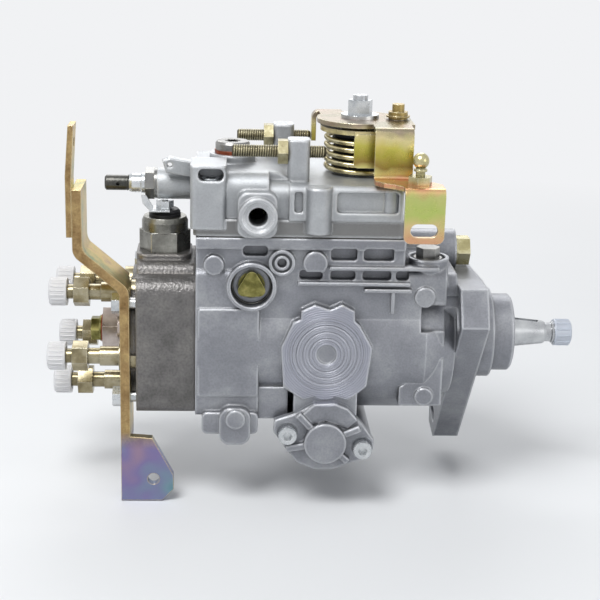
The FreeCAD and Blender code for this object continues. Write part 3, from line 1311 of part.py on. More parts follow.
def plunger_springs():
    """Two coils on their guide pins, pressed by the bridge over the plunger's foot."""
    wire = 2.2
    bridge_x = -113.2
    seat = rear + 9.0
    length = bridge_x - n(seat) - wire
    pieces = []
    for i, (y, z) in enumerate(SPRING_GUIDES):
        pieces.append(coil(f"plunger_spring_{i}", 5.2, wire, length / 6, 6, (seat + wire / 2, y, z), "X"))
        pieces.append(rod(f"guide_pin_{i}", 3, 38, (rear + 1.0, y, z), "X"))
    bridge = plate("spring_bridge_blank", slot(22, 8), 3, (bridge_x, 0, 0), ALONG_X)
    holes = [rod(f"bridge_hole_{i}", 3.1, 8, (bridge_x - 2.0, y, z), "X") for i,
             (y, z) in enumerate(SPRING_GUIDES)]
    pieces.append(cut("spring_bridge", bridge, rod("bridge_hole", 6, 8, (bridge_x - 3.0, 0, 0), "X"), *holes))
    return group("plunger_springs", *pieces)


def control_collar():
    r = d.plunger_radius + d.running_clearance
    solid = turned("collar_solid", [(r, 0), (d.collar_radius, 0), (d.collar_radius, 9), (r, 9)],
                   (-137, 0, 0), "X")
    slot_cut = box("collar_notch", (-135, -3.2, 8.2), (-130, 3.2, 14))
    return cut("control_collar", solid, slot_cut)


def governor_lever():
    """The lever pair that hangs on its cross pin and reaches the control collar with a ball."""
    arm = box("lever_arm", (-134, -4, 14), (-131, 4, 74))
    foot = rod("lever_foot", 2.2, 7, (-132.5, 0, 9))
    pin = rod("lever_pin", 3, 60, (-132.5, -30, 22), "Y")
    pad_arm = box("lever_pad_arm", (-131.5, -3, 36), (-83.9, 3, 44))
    return fuse("governor_lever", arm, foot, pin, pad_arm)


def governor_spring():
    """The coil from the lever's upper end to the lower end of the throttle lever's shaft."""
    wire = 1.6
    start = -131.0
    length = n(lever_x) - n(d.lever_shaft_radius) - start - wire - 0.4
    return coil("governor_spring", 4.4, wire, length / 9, 9, (start + wire / 2 + 0.2, 0, 70), "X")


# The finished sub-parts, each with the name of its node

PIECES = (
    housing, governor_cover, cover_gasket, socket_screws, hydraulic_head, hex_bolts, distributor_barrel,
    valve_holders, copper_washers, outlet_caps, delivery_valves, valve_springs, centre_plug, vent_bolt,
    solenoid_body, solenoid_armature, solenoid_boot, solenoid_terminal, head_bracket, upper_strip,
    timing_covers, timing_piston, timing_spring, regulating_valve, inlet_plug, inspection_plug, return_plug,
    full_load_screw, tamper_collar, stop_screws, lock_nuts, throttle_lever, lever_shaft, lever_nut, ball_stud,
    spring_bushing, return_spring, drive_shaft, shaft_cap, shaft_bush, shaft_seal, feed_rings,
    feed_rotor, drive_gear, governor_carrier, governor_shaft, governor_sleeve, cross_coupling, roller_ring,
    rollers,
    cam_plate, distributor_plunger, plunger_springs, control_collar, governor_lever, governor_spring,
)


def check(parts):
    """Stops before anything is written if an object failed or a sub-part has no sound shape."""
    doc.recompute()
    failed = [o.Name for o in doc.Objects if "Invalid" in o.State or "Error" in o.State]
    for part in parts:
        if part.Shape.isNull() or not part.Shape.isValid() or not part.Shape.Solids:
            failed.append(part.Name)
    if failed:
        raise RuntimeError("failed: " + ", ".join(failed))


parts = [make() for make in PIECES]
parts += [flyweight(i) for i in range(4)]
for part in parts:
    part.Label = part.Name
check(parts)
os.makedirs("parts", exist_ok=True)
for part in parts:
    part.Shape.exportStep(f"parts/{part.Label}.step")
print(len(parts), "sub-parts written")
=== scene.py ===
import math

import bmesh
import bpy
from bpy.props import FloatProperty, FloatVectorProperty, IntProperty, PointerProperty, StringProperty
from mathutils import Matrix, Vector


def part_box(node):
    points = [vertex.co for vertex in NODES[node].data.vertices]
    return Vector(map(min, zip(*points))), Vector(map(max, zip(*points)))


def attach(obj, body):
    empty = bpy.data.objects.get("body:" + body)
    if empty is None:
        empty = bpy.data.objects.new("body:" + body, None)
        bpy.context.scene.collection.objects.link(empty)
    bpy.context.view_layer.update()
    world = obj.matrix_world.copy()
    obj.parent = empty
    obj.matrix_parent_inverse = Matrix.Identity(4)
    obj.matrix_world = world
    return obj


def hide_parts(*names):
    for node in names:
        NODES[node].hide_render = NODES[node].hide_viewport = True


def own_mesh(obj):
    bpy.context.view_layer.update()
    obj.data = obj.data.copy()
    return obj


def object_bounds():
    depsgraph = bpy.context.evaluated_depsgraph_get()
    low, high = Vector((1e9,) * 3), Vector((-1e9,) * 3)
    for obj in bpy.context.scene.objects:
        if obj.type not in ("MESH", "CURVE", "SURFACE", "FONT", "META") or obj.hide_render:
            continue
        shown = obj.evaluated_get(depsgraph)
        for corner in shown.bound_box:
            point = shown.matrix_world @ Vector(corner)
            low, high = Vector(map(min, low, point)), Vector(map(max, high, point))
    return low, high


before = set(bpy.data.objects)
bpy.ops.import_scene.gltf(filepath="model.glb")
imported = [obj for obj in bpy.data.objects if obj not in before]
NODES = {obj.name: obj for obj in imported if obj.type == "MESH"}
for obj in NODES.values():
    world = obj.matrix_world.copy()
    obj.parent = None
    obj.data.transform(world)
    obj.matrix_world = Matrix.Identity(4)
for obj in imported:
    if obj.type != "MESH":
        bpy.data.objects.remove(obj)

# The looks of a rotary distributor pump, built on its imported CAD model.
# Lengths are in metres, in the model's own frame: X along the drive shaft, Y away
# from the side that the photograph shows, Z up.

bl_info = {
    "name": "Diesel Injection Pump",
    "version": (1, 0, 0),
    "blender": (4, 5, 0),
    "location": "View3D > Sidebar > Pump",
    "description": "Finishes the castings, springs, threads, caps and platings of a rotary injection pump",
    "category": "Object",
}

CAD_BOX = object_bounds()
MM = 0.001

# The pale background, as the camera, a reflection and clear plastic see it
BACKGROUND = "#F1F2F4"

# Where the solids are that the looks follow, in millimetres, and in degrees for the outlets' angles.
# A cover screw's seat is x, y, z, and a timing screw's is x, z, on both sides of the pump. The pad's
# rings are the radii of its raised turning marks
COVER_SCREW_SEATS = ((-147.0, -34.3, 86.5), (-147.0, 34.3, 72.0), (-53.5, 34.3, 72.0), (-53.5, -34.3, 72.0))
TIMING_SCREW_SEATS = ((-105.2, -42.8), (-64.8, -50.9))
TIMING_SEAT_Y = 47.2
PAD_CENTRE = (-85.1, -43.42, -0.1)
PAD_BACK_Y, PAD_RADIUS = -43.1, 27.5
PAD_RINGS = (7.4, 11.1, 14.7, 18.2, 19.9)
PLUG_RECESS = (-125.3, -38.2, 36.3)
OUTLETS, FIRST_OUTLET, OUTLET_STEP, OUTLET_CIRCLE = 5, 58.8, 72, 29.4
OUTLET_CAP_X, SHAFT_CAP_X = -223.7, 45.6

# Each thread's piece, plating, core radius, and the start and length of its runs, in metres
THREADS = (
    ("stop_screw_threads", "thread", 0.0030,
     (((-0.1355, -0.025, 0.105), 0.0475), ((-0.1326, 0.025, 0.105), 0.039))),
    ("full_load_thread", "dark", 0.00395, (((-0.1922, 0, 0.0821), 0.033),)),
)


# Colour and material helpers


MATH, RANGE, VECTOR = "ShaderNodeMath", "ShaderNodeMapRange", "ShaderNodeVectorMath"
MIX, NOISE, RAMP, SPLIT = "ShaderNodeMix", "ShaderNodeTexNoise", "ShaderNodeValToRGB", "ShaderNodeSeparateXYZ"
BUMP, BEVEL, GEOMETRY = "ShaderNodeBump", "ShaderNodeBevel", "ShaderNodeNewGeometry"
TIMES, PLUS, MINUS = {"operation": "MULTIPLY"}, {"operation": "ADD"}, {"operation": "SUBTRACT"}
BELOW, ABOVE, LARGER = {"operation": "LESS_THAN"}, {"operation": "GREATER_THAN"}, {"operation": "MAXIMUM"}
LAY_OVER = {"data_type": "RGBA"}
DARKEN = {"data_type": "RGBA", "blend_type": "MULTIPLY"}


def to_linear(colour):
    """A colour written as sRGB hex, as the linear values that shaders read."""
    parts = [int(colour[i:i + 2], 16) / 255 for i in (1, 3, 5)]
    linear = [c / 12.92 if c <= 0.04045 else ((c + 0.055) / 1.055) ** 2.4 for c in parts]
    return (*linear, 1.0)


def add_node(tree, kind, settings=None, inputs=None):
    """Adds one node with its settings. Each input is a plain value, or another node's socket to link."""
    node = tree.nodes.new(kind)
    for name, value in (settings or {}).items():
        setattr(node, name, value)
    for name, value in (inputs or {}).items():
        if isinstance(value, bpy.types.NodeSocket):
            tree.links.new(value, node.inputs[name])
        else:
            node.inputs[name].default_value = value
    return node


def set_ramp(node, stops):
    """Gives a colour ramp its (place, sRGB hex) stops."""
    ramp = node.color_ramp
    while len(ramp.elements) < len(stops):
        ramp.elements.new(0.5)
    for element, (place, colour) in zip(ramp.elements, stops):
        element.position = place
        element.color = to_linear(colour)


def start_material(name):
    material = bpy.data.materials.new(name)
    material.use_nodes = True
    tree = material.node_tree
    shader = tree.nodes["Principled BSDF"]
    where = add_node(tree, "ShaderNodeTexCoord").outputs["Object"]
    return material, tree, shader, where


def cloudy(tree, where, size, stops, detail=5.0):
    """A colour that drifts through the stops in patches of the given size in millimetres."""
    cloud = add_node(tree, NOISE, None, {
        "Vector": where, "Scale": 1 / (size * MM), "Detail": detail, "Roughness": 0.6})
    tint = add_node(tree, RAMP, None, {"Fac": cloud.outputs["Fac"]})
    first, spread = 0.32, 0.36
    set_ramp(tint, [(first + spread * i / (len(stops) - 1), stop) for i, stop in enumerate(stops)])
    return tint.outputs["Color"], cloud.outputs["Fac"]


def surface(name, stops, metallic, roughness, patch, grain, relief, corner=0.0, wear=0.0, edge=None,
            tint=None, marks=None):
    """A finish: cloudy colour, fine grain, soft edges worn bright with a painted highlight on them, painted
    shade in its corners and an uneven shine.

    patch, grain, relief and corner are millimetres. wear is how much the grain darkens the colour, and
    edge is the colour of worn edges, with a painted highlight; it also brings painted shade into inner
    corners.
    tint lays a further colour over it, and marks changes both colour and height.
    """
    material, tree, shader, where = start_material(name)
    shader.inputs["Metallic"].default_value = metallic
    colour, cloud = cloudy(tree, where, patch, stops)
    # The grain is drawn coarser than the real surface's, so that it shows
    height = add_node(tree, NOISE, None, {
        "Vector": where, "Scale": 1 / (grain * MM), "Detail": 3.0}).outputs["Fac"]
    if wear:
        shade = add_node(tree, RANGE, None, {
            "Value": height, "From Min": 0.3, "From Max": 0.62, "To Min": 1 - wear}).outputs["Result"]
        colour = add_node(tree, MIX, DARKEN, {"Factor": 1.0, "A": colour, "B": shade}).outputs["Result"]
    if tint:
        colour = tint(tree, where, colour)
    if marks:
        colour, height = marks(tree, where, colour, height)
    bump = add_node(tree, BUMP, None, {"Strength": 0.7, "Distance": relief * MM, "Height": height})
    if corner:
        soft = add_node(tree, BEVEL, {"samples": 4}, {"Radius": corner * MM}).outputs["Normal"]
        tree.links.new(soft, bump.inputs["Normal"])
    # Worn edges with a painted highlight, and painted shade in the inner corners
    if corner and edge:
        colour = worn_highlit_edges_and_shaded_corners(tree, soft, colour, edge)
    shine = add_node(tree, RANGE, None, {
        "Value": cloud, "To Min": roughness - 0.07, "To Max": roughness + 0.09})
    tree.links.new(colour, shader.inputs["Base Color"])
    tree.links.new(shine.outputs["Result"], shader.inputs["Roughness"])
    tree.links.new(bump.outputs["Normal"], shader.inputs["Normal"])
    return material


def worn_highlit_edges_and_shaded_corners(tree, soft, colour, edge):
    """Brightens outer edges, where the softened normal leaves the face's own, as wear together with a painted
    highlight, and darkens inner corners with painted shade.
    """
    reach = 7.0 * MM
    face = add_node(tree, GEOMETRY).outputs["True Normal"]
    turn = add_node(tree, VECTOR, {"operation": "DOT_PRODUCT"}, {0: soft, 1: face}).outputs["Value"]
    open_air = add_node(tree, "ShaderNodeAmbientOcclusion", {"samples": 4, "only_local": True},
                        {"Distance": reach}).outputs["AO"]
    outer = add_node(tree, RANGE, None, {"Value": open_air, "From Min": 0.35, "From Max": 0.9})
    rounded = add_node(tree, RANGE, None, {"Value": turn, "From Min": 0.995, "From Max": 0.9})
    worn_and_highlit = add_node(tree, MATH, TIMES, {0: rounded.outputs["Result"], 1: outer.outputs["Result"]})
    # Painted highlight on top of wear: outer edges are laid over with the bright edge colour
    colour = add_node(tree, MIX, LAY_OVER, {
        "Factor": worn_and_highlit.outputs["Value"], "A": colour, "B": to_linear(edge)})
    # Painted shade: inner corners, where the occlusion closes in, are darkened
    painted_corner_shade = add_node(tree, RANGE, None, {"Value": open_air, "From Min": 0.15, "From Max": 0.9, "To Min": 0.42})
    return add_node(tree, MIX, DARKEN, {
        "Factor": 1.0, "A": colour.outputs["Result"], "B": painted_corner_shade.outputs["Result"]}).outputs["Result"]


def seen_directly(tree):
    """1 for what the camera, a reflection or clear plastic sees, 0 for light that falls on the object."""
    path = add_node(tree, "ShaderNodeLightPath").outputs
    mirrored = add_node(tree, MATH, LARGER, {
        0: path["Is Camera Ray"], 1: path["Is Glossy Ray"]}).outputs["Value"]
    return add_node(tree, MATH, LARGER, {0: mirrored, 1: path["Is Transmission Ray"]}).outputs["Value"]


MATERIALS = {}


def finish(name):
    """The material of that name, made the first time that it is asked for."""
    if name not in MATERIALS:
        MATERIALS[name] = RECIPES[name]()
    return MATERIALS[name]


def turned_pad(tree, where, colour, grain):
    """The round pad is smooth and bluish, with turning marks around its centre instead of the cast grain."""
    # Drawn coarser than the marks that turning leaves, so that they show
    marks_apart = 1.2
    spot = add_node(tree, SPLIT, None, {"Vector": where}).outputs
    across = add_node(tree, MATH, PLUS, {0: spot["X"], 1: -PAD_CENTRE[0] * MM}).outputs["Value"]
    flat = add_node(tree, "ShaderNodeCombineXYZ", None, {"X": across, "Y": spot["Z"]}).outputs["Vector"]
    reach = add_node(tree, VECTOR, {"operation": "LENGTH"}, {0: flat}).outputs["Value"]
    near = add_node(tree, MATH, BELOW, {0: spot["Y"], 1: PAD_BACK_Y * MM}).outputs["Value"]
    inside = add_node(tree, MATH, BELOW, {0: reach, 1: PAD_RADIUS * MM}).outputs["Value"]
    on_pad = add_node(tree, MATH, TIMES, {0: near, 1: inside}).outputs["Value"]
    turns = add_node(tree, MATH, TIMES, {0: reach, 1: 2 * math.pi / (marks_apart * MM)}).outputs["Value"]
    wave = add_node(tree, MATH, {"operation": "SINE"}, {0: turns}).outputs["Value"]
    crest = add_node(tree, RANGE, None, {"Value": wave, "From Min": 0.55, "From Max": 0.95}).outputs["Result"]
    groove = add_node(tree, MATH, TIMES, {0: crest, 1: on_pad}).outputs["Value"]
    for mask, share, tone in ((on_pad, 0.75, "#A6A8B4"), (groove, 0.3, "#6E7080")):
        part = add_node(tree, MATH, TIMES, {0: mask, 1: share}).outputs["Value"]
        colour = add_node(tree, MIX, LAY_OVER, {
            "Factor": part, "A": colour, "B": to_linear(tone)}).outputs["Result"]
    off_pad = add_node(tree, MATH, MINUS, {0: 1.0, 1: on_pad}).outputs["Value"]
    cast = add_node(tree, MATH, TIMES, {0: grain, 1: off_pad}).outputs["Value"]
    return colour, add_node(tree, MATH, MINUS, {0: cast, 1: groove}).outputs["Value"]


def die_cast_aluminium():
    # Die-cast aluminium, shot blasted: grey shine, even grain, bright worn edges with a painted highlight,
    # painted shade in its corners, and one turned pad
    tones = bpy.context.scene.pump_castings
    return surface("die_cast_aluminium", [tones.housing_shade, tones.housing_tint, tones.housing_light],
                   metallic=0.68, roughness=0.36, patch=24, grain=1.0, relief=0.2, corner=2.0, wear=0.14,
                   edge="#D9DBDF", marks=turned_pad)


def darker_foot_band(tree, where, colour):
    """The cover's foot is drawn darker than its cast walls; behind the rear towers its top is lower."""
    towers_end, foot_top, rear_foot_top, near_wall = -138.7 * MM, 71.8 * MM, 66.5 * MM, -40.6 * MM
    spot = add_node(tree, SPLIT, None, {"Vector": where}).outputs
    behind = add_node(tree, MATH, BELOW, {0: spot["X"], 1: towers_end}).outputs["Value"]
    top = add_node(tree, RANGE, None, {
        "Value": behind, "To Min": foot_top, "To Max": rear_foot_top}).outputs["Result"]
    low = add_node(tree, MATH, BELOW, {0: spot["Z"], 1: top}).outputs["Value"]
    inner = add_node(tree, MATH, ABOVE, {0: spot["Y"], 1: near_wall}).outputs["Value"]
    both = add_node(tree, MATH, TIMES, {0: low, 1: inner}).outputs["Value"]
    share = add_node(tree, MATH, TIMES, {0: both, 1: 0.8}).outputs["Value"]
    return add_node(tree, MIX, LAY_OVER, {
        "Factor": share, "A": colour, "B": to_linear("#6F6E6C")}).outputs["Result"]


def blasted_cover_aluminium():
    # The same alloy, blasted brighter, on the governor cover
    tones = bpy.context.scene.pump_castings
    return surface("blasted_cover_aluminium", [tones.housing_light, tones.cover_tint, "#B9BCBE"],
                   metallic=0.62, roughness=0.42, patch=22, grain=0.9, relief=0.15, corner=2.2, wear=0.1,
                   edge="#E4E6E8", tint=darker_foot_band)


def phosphated_steel():
    # Cast head with a dark coat: rough, mottled and dull, with worn edges that carry a painted highlight, and
    # painted shade in its corners
    tones = bpy.context.scene.pump_castings
    return surface("phosphated_steel", ["#646361", tones.head_tint, "#83817E"], metallic=0.7,
                   roughness=0.34, patch=16, grain=1.3, relief=0.6, corner=2.4, wear=0.25, edge="#96928E")


def lever_film_and_reflections(tree, where, colour):
    """Up the lever: pink low down, then lime, gold on the drop, bronze on top and gold on the stud; the bands
    are partly the film's colours and partly painted highlights and reflections, and the violet bronze on top
    is a painted reflection.
    """
    low, top, stud_foot, uneven = 65 * MM, 120 * MM, 119.9 * MM, 11 * MM
    patches_a_metre = 70.0
    spot = add_node(tree, SPLIT, None, {"Vector": where}).outputs
    noise = add_node(tree, NOISE, None, {
        "Vector": where, "Scale": patches_a_metre, "Detail": 2.0}).outputs["Fac"]
    centred = add_node(tree, MATH, MINUS, {0: noise, 1: 0.5}).outputs["Value"]
    drift = add_node(tree, MATH, TIMES, {0: centred, 1: uneven}).outputs["Value"]
    level = add_node(tree, MATH, PLUS, {0: spot["Z"], 1: drift}).outputs["Value"]
    height = add_node(tree, RANGE, None, {"Value": level, "From Min": low, "From Max": top})
    ramp = add_node(tree, RAMP, None, {"Fac": height.outputs["Result"]})
    # Painted highlights and reflections in these stops: the pale bands stand for highlights, the dark bronze
    # band and the violet grey at the top for reflections
    set_ramp(ramp, [(0.02, "#D59C80"), (0.16, "#D3BF88"), (0.28, "#AFC46A"), (0.44, "#BEC47C"),
                    (0.52, "#D9907A"), (0.57, "#E2DC8E"), (0.63, "#83682F"), (0.72, "#A39A38"),
                    (0.8, "#C9BE5C"), (0.89, "#E0D2A0"), (0.955, "#857A76"), (1.0, "#8A7F78")])
    colour = add_node(tree, MIX, LAY_OVER, {
        "Factor": 0.82, "A": colour, "B": ramp.outputs["Color"]}).outputs["Result"]
    stud = add_node(tree, MATH, ABOVE, {0: spot["Z"], 1: stud_foot}).outputs["Value"]
    return add_node(tree, MIX, LAY_OVER, {
        "Factor": stud, "A": colour, "B": to_linear("#AD9760")}).outputs["Result"]


def yellow_chromate():
    # Pressed steel, zinc plated and yellow passivated: a thin bright film that drifts through several
    # colours, with painted highlights and reflections laid over it by height
    tones = bpy.context.scene.pump_platings
    return surface("yellow_chromate", ["#B7C860", tones.lever_tint, "#E2C98F", "#E2B48E"], metallic=0.92,
                   roughness=0.27, patch=13, grain=1.6, relief=0.03, corner=0.5, wear=0.08, edge="#EDE6C8",
                   tint=lever_film_and_reflections)


def bracket_bloom(tree, where, colour):
    """The bracket is brown on its sheared edges, gold-green on its faces, and teal to purple at its foot."""
    foot_begins, foot_full = -46 * MM, -56 * MM
    facing = add_node(tree, GEOMETRY).outputs["True Normal"]
    sideways = add_node(tree, SPLIT, None, {"Vector": facing}).outputs["Y"]
    steep = add_node(tree, MATH, {"operation": "ABSOLUTE"}, {0: sideways}).outputs["Value"]
    on_face = add_node(tree, RANGE, None, {
        "Value": steep, "From Min": 0.9, "From Max": 0.4}).outputs["Result"]
    level = add_node(tree, SPLIT, None, {"Vector": where}).outputs["Z"]
    at_foot = add_node(tree, RANGE, None, {
        "Value": level, "From Min": foot_begins, "From Max": foot_full}).outputs["Result"]
    gold = cloudy(tree, where, 14, ["#7F8A5C", "#B3A35E", "#C9AE6A", "#A98C6C"])[0]
    foot = cloudy(tree, where, 34, ["#5E8F93", "#7D97A6", "#857BA6", "#A0879B"], 2.0)[0]
    for mask, tone in ((on_face, gold), (at_foot, foot)):
        colour = add_node(tree, MIX, LAY_OVER, {"Factor": mask, "A": colour, "B": tone}).outputs["Result"]
    return colour


def brown_chromate():
    # The heavier yellow passivation of the thick bracket
    tones = bpy.context.scene.pump_platings
    return surface("brown_chromate", ["#80643F", tones.bracket_tint, "#C6AC78"], metallic=0.9,
                   roughness=0.3, patch=10, grain=0.9, relief=0.12, corner=0.8, wear=0.25, edge="#D8C59A",
                   tint=bracket_bloom)


def grey_rear_nut(tree, where, colour):
    """The full-load screw's lock nut is plain grey steel, the nuts further forward are yellow."""
    rear_nut_front = -170 * MM
    place = add_node(tree, SPLIT, None, {"Vector": where}).outputs["X"]
    behind = add_node(tree, MATH, BELOW, {0: place, 1: rear_nut_front}).outputs["Value"]
    share = add_node(tree, MATH, TIMES, {0: behind, 1: 0.9}).outputs["Value"]
    return add_node(tree, MIX, LAY_OVER, {
        "Factor": share, "A": colour, "B": to_linear("#7C7D7F")}).outputs["Result"]


def yellow_zinc_thread():
    # Rolled threads and nuts, zinc plated and lightly yellow passivated
    return surface("yellow_zinc_thread", ["#8F8768", "#A8A07F", "#C4BD9E"], metallic=0.95, roughness=0.28,
                   patch=5, grain=0.5, relief=0.02, corner=0.25, wear=0.12, edge="#DDD8BE",
                   tint=grey_rear_nut)


def shaded_thread_root():
    # The bottom of a rolled thread, drawn dark as painted shade between the ridges
    return surface("shaded_thread_root", ["#3D392C", "#565040", "#6E6850"], metallic=0.85, roughness=0.4, patch=5,
                   grain=0.5, relief=0.02, corner=0.25, wear=0.1)


def pale_zinc():
    # Lightly yellow zinc on the turned fittings
    return surface("pale_zinc", ["#A39A6E", "#C0B88C", "#D4CEAA"], metallic=0.95, roughness=0.26, patch=8,
                   grain=0.5, relief=0.02, corner=0.4, wear=0.06, edge="#E6E2C8")


def bright_zinc():
    # Clear zinc on the small screws and nuts: pale, slightly blue and bright
    return surface("bright_zinc", ["#B4B8BB", "#CACDCF", "#DADCDD"], metallic=0.97, roughness=0.26, patch=6,
                   grain=0.5, relief=0.015, corner=0.3, wear=0.06)


def dark_zinc():
    # Worn grey plating on the heavier steel fittings
    return surface("dark_zinc", ["#6E6D6A", "#8A8987", "#A3A29E"], metallic=0.93, roughness=0.32, patch=7,
                   grain=0.6, relief=0.02, corner=0.4, wear=0.12, edge="#C4C2BC")


def pink_zinc():
    # Clear zinc that has yellowed to a pinkish silver
    return surface("pink_zinc", ["#A79C98", "#C0B4AE", "#D2C9C4"], metallic=0.95, roughness=0.28, patch=8,
                   grain=0.6, relief=0.02, corner=0.4, wear=0.08)


def gold_passivated_steel():
    # The outlet stubs: turned steel with a brown-gold passivation
    return surface("gold_passivated_steel", ["#7C7258", "#968C6F", "#ADA58C", "#A29776"], metallic=0.95,
                   roughness=0.25, patch=12, grain=0.6, relief=0.02, corner=0.4, wear=0.06, edge="#CFCAB8")


def olive_chromate():
    # Olive passivated plug and vent bolt
    return surface("olive_chromate", ["#55522C", "#7C7844", "#A19A60"], metallic=0.92, roughness=0.3,
                   patch=5, grain=0.5, relief=0.02, corner=0.5, wear=0.15, edge="#CFC98A")


def soft_copper():
    # Annealed copper sealing rings
    return surface("soft_copper", ["#74402E", "#8A4A35", "#A8624A"], metallic=0.95, roughness=0.36, patch=4,
                   grain=0.5, relief=0.01, corner=0.2, wear=0.1)


def dull_nickel_plate():
    # The solenoid's can: dull grey plating with bright worn edges that carry a painted highlight, and painted
    # shade in its corners
    return surface("dull_nickel_plate", ["#676660", "#82817B", "#A09F98"], metallic=0.92, roughness=0.28,
                   patch=9, grain=0.7, relief=0.03, corner=0.6, wear=0.12, edge="#D0CFC8")


def turned_steel():
    # Bright turned steel of the shaft and its bush
    return surface("turned_steel", ["#A9ABAE", "#BFC1C3", "#CBCDCE"], metallic=0.98, roughness=0.28,
                   patch=9, grain=0.4, relief=0.012, corner=0.3, wear=0.05)


def blackened_steel():
    # Blackened steel: a dark grey, faintly warm, with a soft shine
    return surface("blackened_steel", ["#3E3E3B", "#4F4F4C", "#64625E"], metallic=0.9, roughness=0.32,
                   patch=6, grain=0.6, relief=0.02, corner=0.3, wear=0.1)


def hardened_steel():
    # Ground and hardened working parts inside
    return surface("hardened_steel", ["#6A6D71", "#7F8387", "#979A9D"], metallic=0.95, roughness=0.25,
                   patch=8, grain=0.5, relief=0.01, corner=0.2, wear=0.05)


def spring_wire():
    # Oil tempered spring wire with a pale gold plating
    return surface("spring_wire", ["#9A8E6C", "#BDB28A", "#D6CEAC"], metallic=0.95, roughness=0.24, patch=8,
                   grain=0.7, relief=0.015, wear=0.08)


def black_moulded_rubber():
    # Moulded black rubber and plastic: almost no shine
    return surface("black_moulded_rubber", ["#161618", "#1B1B1E", "#26262A"], metallic=0.0, roughness=0.55,
                   patch=6, grain=0.5, relief=0.03, corner=0.3)


def gasket_paper():
    # Compressed fibre gasket, seen as a thin dark line
    return surface("gasket_paper", ["#2E2D2C", "#3A3937", "#4A4846"], metallic=0.0, roughness=0.8, patch=4,
                   grain=0.5, relief=0.04)


def moulded_polythene(name, tint):
    """Moulded polythene: milky, about a third clear, with a soft wax shine."""
    material, tree, shader, where = start_material(name)
    for label, value in (("Base Color", to_linear(tint)), ("Roughness", 0.32), ("IOR", 1.5),
                         ("Transmission Weight", 0.35)):
        shader.inputs[label].default_value = value
    ripples_a_metre, depth, corner = 260.0, 0.12 * MM, 0.3 * MM
    ripple = add_node(tree, NOISE, None, {
        "Vector": where, "Scale": ripples_a_metre, "Detail": 3.0}).outputs["Fac"]
    soft = add_node(tree, BEVEL, {"samples": 4}, {"Radius": corner}).outputs["Normal"]
    bump = add_node(tree, BUMP, None, {"Strength": 0.4, "Distance": depth, "Height": ripple, "Normal": soft})
    tree.links.new(bump.outputs["Normal"], shader.inputs["Normal"])
    return material


def cloudy_polythene():
    # The outlets' caps: milk white
    return moulded_polythene("cloudy_polythene", bpy.context.scene.pump_platings.cap_tint)


def blue_polythene():
    # The shaft's cap: the same plastic in a pale blue grey
    return moulded_polythene("blue_polythene", bpy.context.scene.pump_platings.shaft_cap_tint)


RECIPES = {
    "casting": die_cast_aluminium,
    "cover": blasted_cover_aluminium,
    "head": phosphated_steel,
    "lever": yellow_chromate,
    "bracket": brown_chromate,
    "thread": yellow_zinc_thread,
    "shaded_thread_root": shaded_thread_root,
    "pale_zinc": pale_zinc,
    "zinc": bright_zinc,
    "grey_zinc": dark_zinc,
    "pink_zinc": pink_zinc,
    "stub": gold_passivated_steel,
    "olive": olive_chromate,
    "copper": soft_copper,
    "solenoid": dull_nickel_plate,
    "turned": turned_steel,
    "dark": blackened_steel,
    "hardened": hardened_steel,
    "wire": spring_wire,
    "rubber": black_moulded_rubber,
    "gasket": gasket_paper,
    "cap": cloudy_polythene,
    "blue_cap": blue_polythene,
}

# Which finish each carried-over piece has; what isn't named is hardened steel
NODE_FINISH = {
    "casting": ("pump_housing", "timing_covers"),
    "cover": ("governor_cover",),
    "gasket": ("cover_gasket",),
    "head": ("hydraulic_head",),
    "lever": ("throttle_lever",),
    "bracket": ("head_bracket", "upper_strip"),
    "thread": ("lock_nuts",),
    "shaded_thread_root": ("stop_screws",),
    "pale_zinc": ("ball_stud", "inlet_plug"),
    "stub": ("valve_holders",),
    "dark": ("full_load_screw",),
    "grey_zinc": ("regulating_valve", "return_plug"),
    "pink_zinc": ("centre_plug",),
    "zinc": ("socket_screws", "hex_bolts", "lever_nut", "tamper_collar", "solenoid_terminal"),
    "olive": ("inspection_plug", "vent_bolt"),
    "copper": ("copper_washers",),
    "solenoid": ("solenoid_body",),
    "rubber": ("solenoid_boot", "spring_bushing", "shaft_seal"),
    "wire": ("return_spring", "governor_spring", "timing_spring", "valve_springs", "plunger_springs"),
    "turned": ("drive_shaft", "lever_shaft", "shaft_bush"),
    "cap": ("outlet_caps", "shaft_cap"),
}


# Mesh helpers


def adopt(name, mesh, material, body):
    """A finished mesh as a piece at the origin that rides on its body."""
    piece = bpy.data.objects.new(name, mesh)
    bpy.context.scene.collection.objects.link(piece)
    mesh.materials.clear()
    mesh.materials.append(material)
    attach(piece, body)
    return piece


def pour(whole, mesh):
    """Adds a mesh to the shape that is being gathered, and lets the mesh go."""
    whole.from_mesh(mesh)
    bpy.data.meshes.remove(mesh)


def from_bmesh(name, shape, smooth=True, angle=40.0):
    """A merged mesh with its faces outwards, smooth but for edges sharper than the angle in degrees."""
    bmesh.ops.remove_doubles(shape, verts=shape.verts, dist=1e-6)
    bmesh.ops.recalc_face_normals(shape, faces=shape.faces)
    mesh = bpy.data.meshes.new(name)
    shape.to_mesh(mesh)
    shape.free()
    if smooth:
        mesh.polygons.foreach_set("use_smooth", [True] * len(mesh.polygons))
        mesh.set_sharp_from_angle(angle=math.radians(angle))
    return mesh


AXIS_TURNS = {
    "X": Matrix.Rotation(math.pi / 2, 4, "Y"),
    "-X": Matrix.Rotation(-math.pi / 2, 4, "Y"),
    "Y": Matrix.Rotation(-math.pi / 2, 4, "X"),
    "-Y": Matrix.Rotation(math.pi / 2, 4, "X"),
    "Z": Matrix.Identity(4),
}


def set_along(at, along):
    """Where something drawn along +Z goes in the model: its start in metres, and the way that it points."""
    return Matrix.Translation(Vector(at)) @ AXIS_TURNS[along]


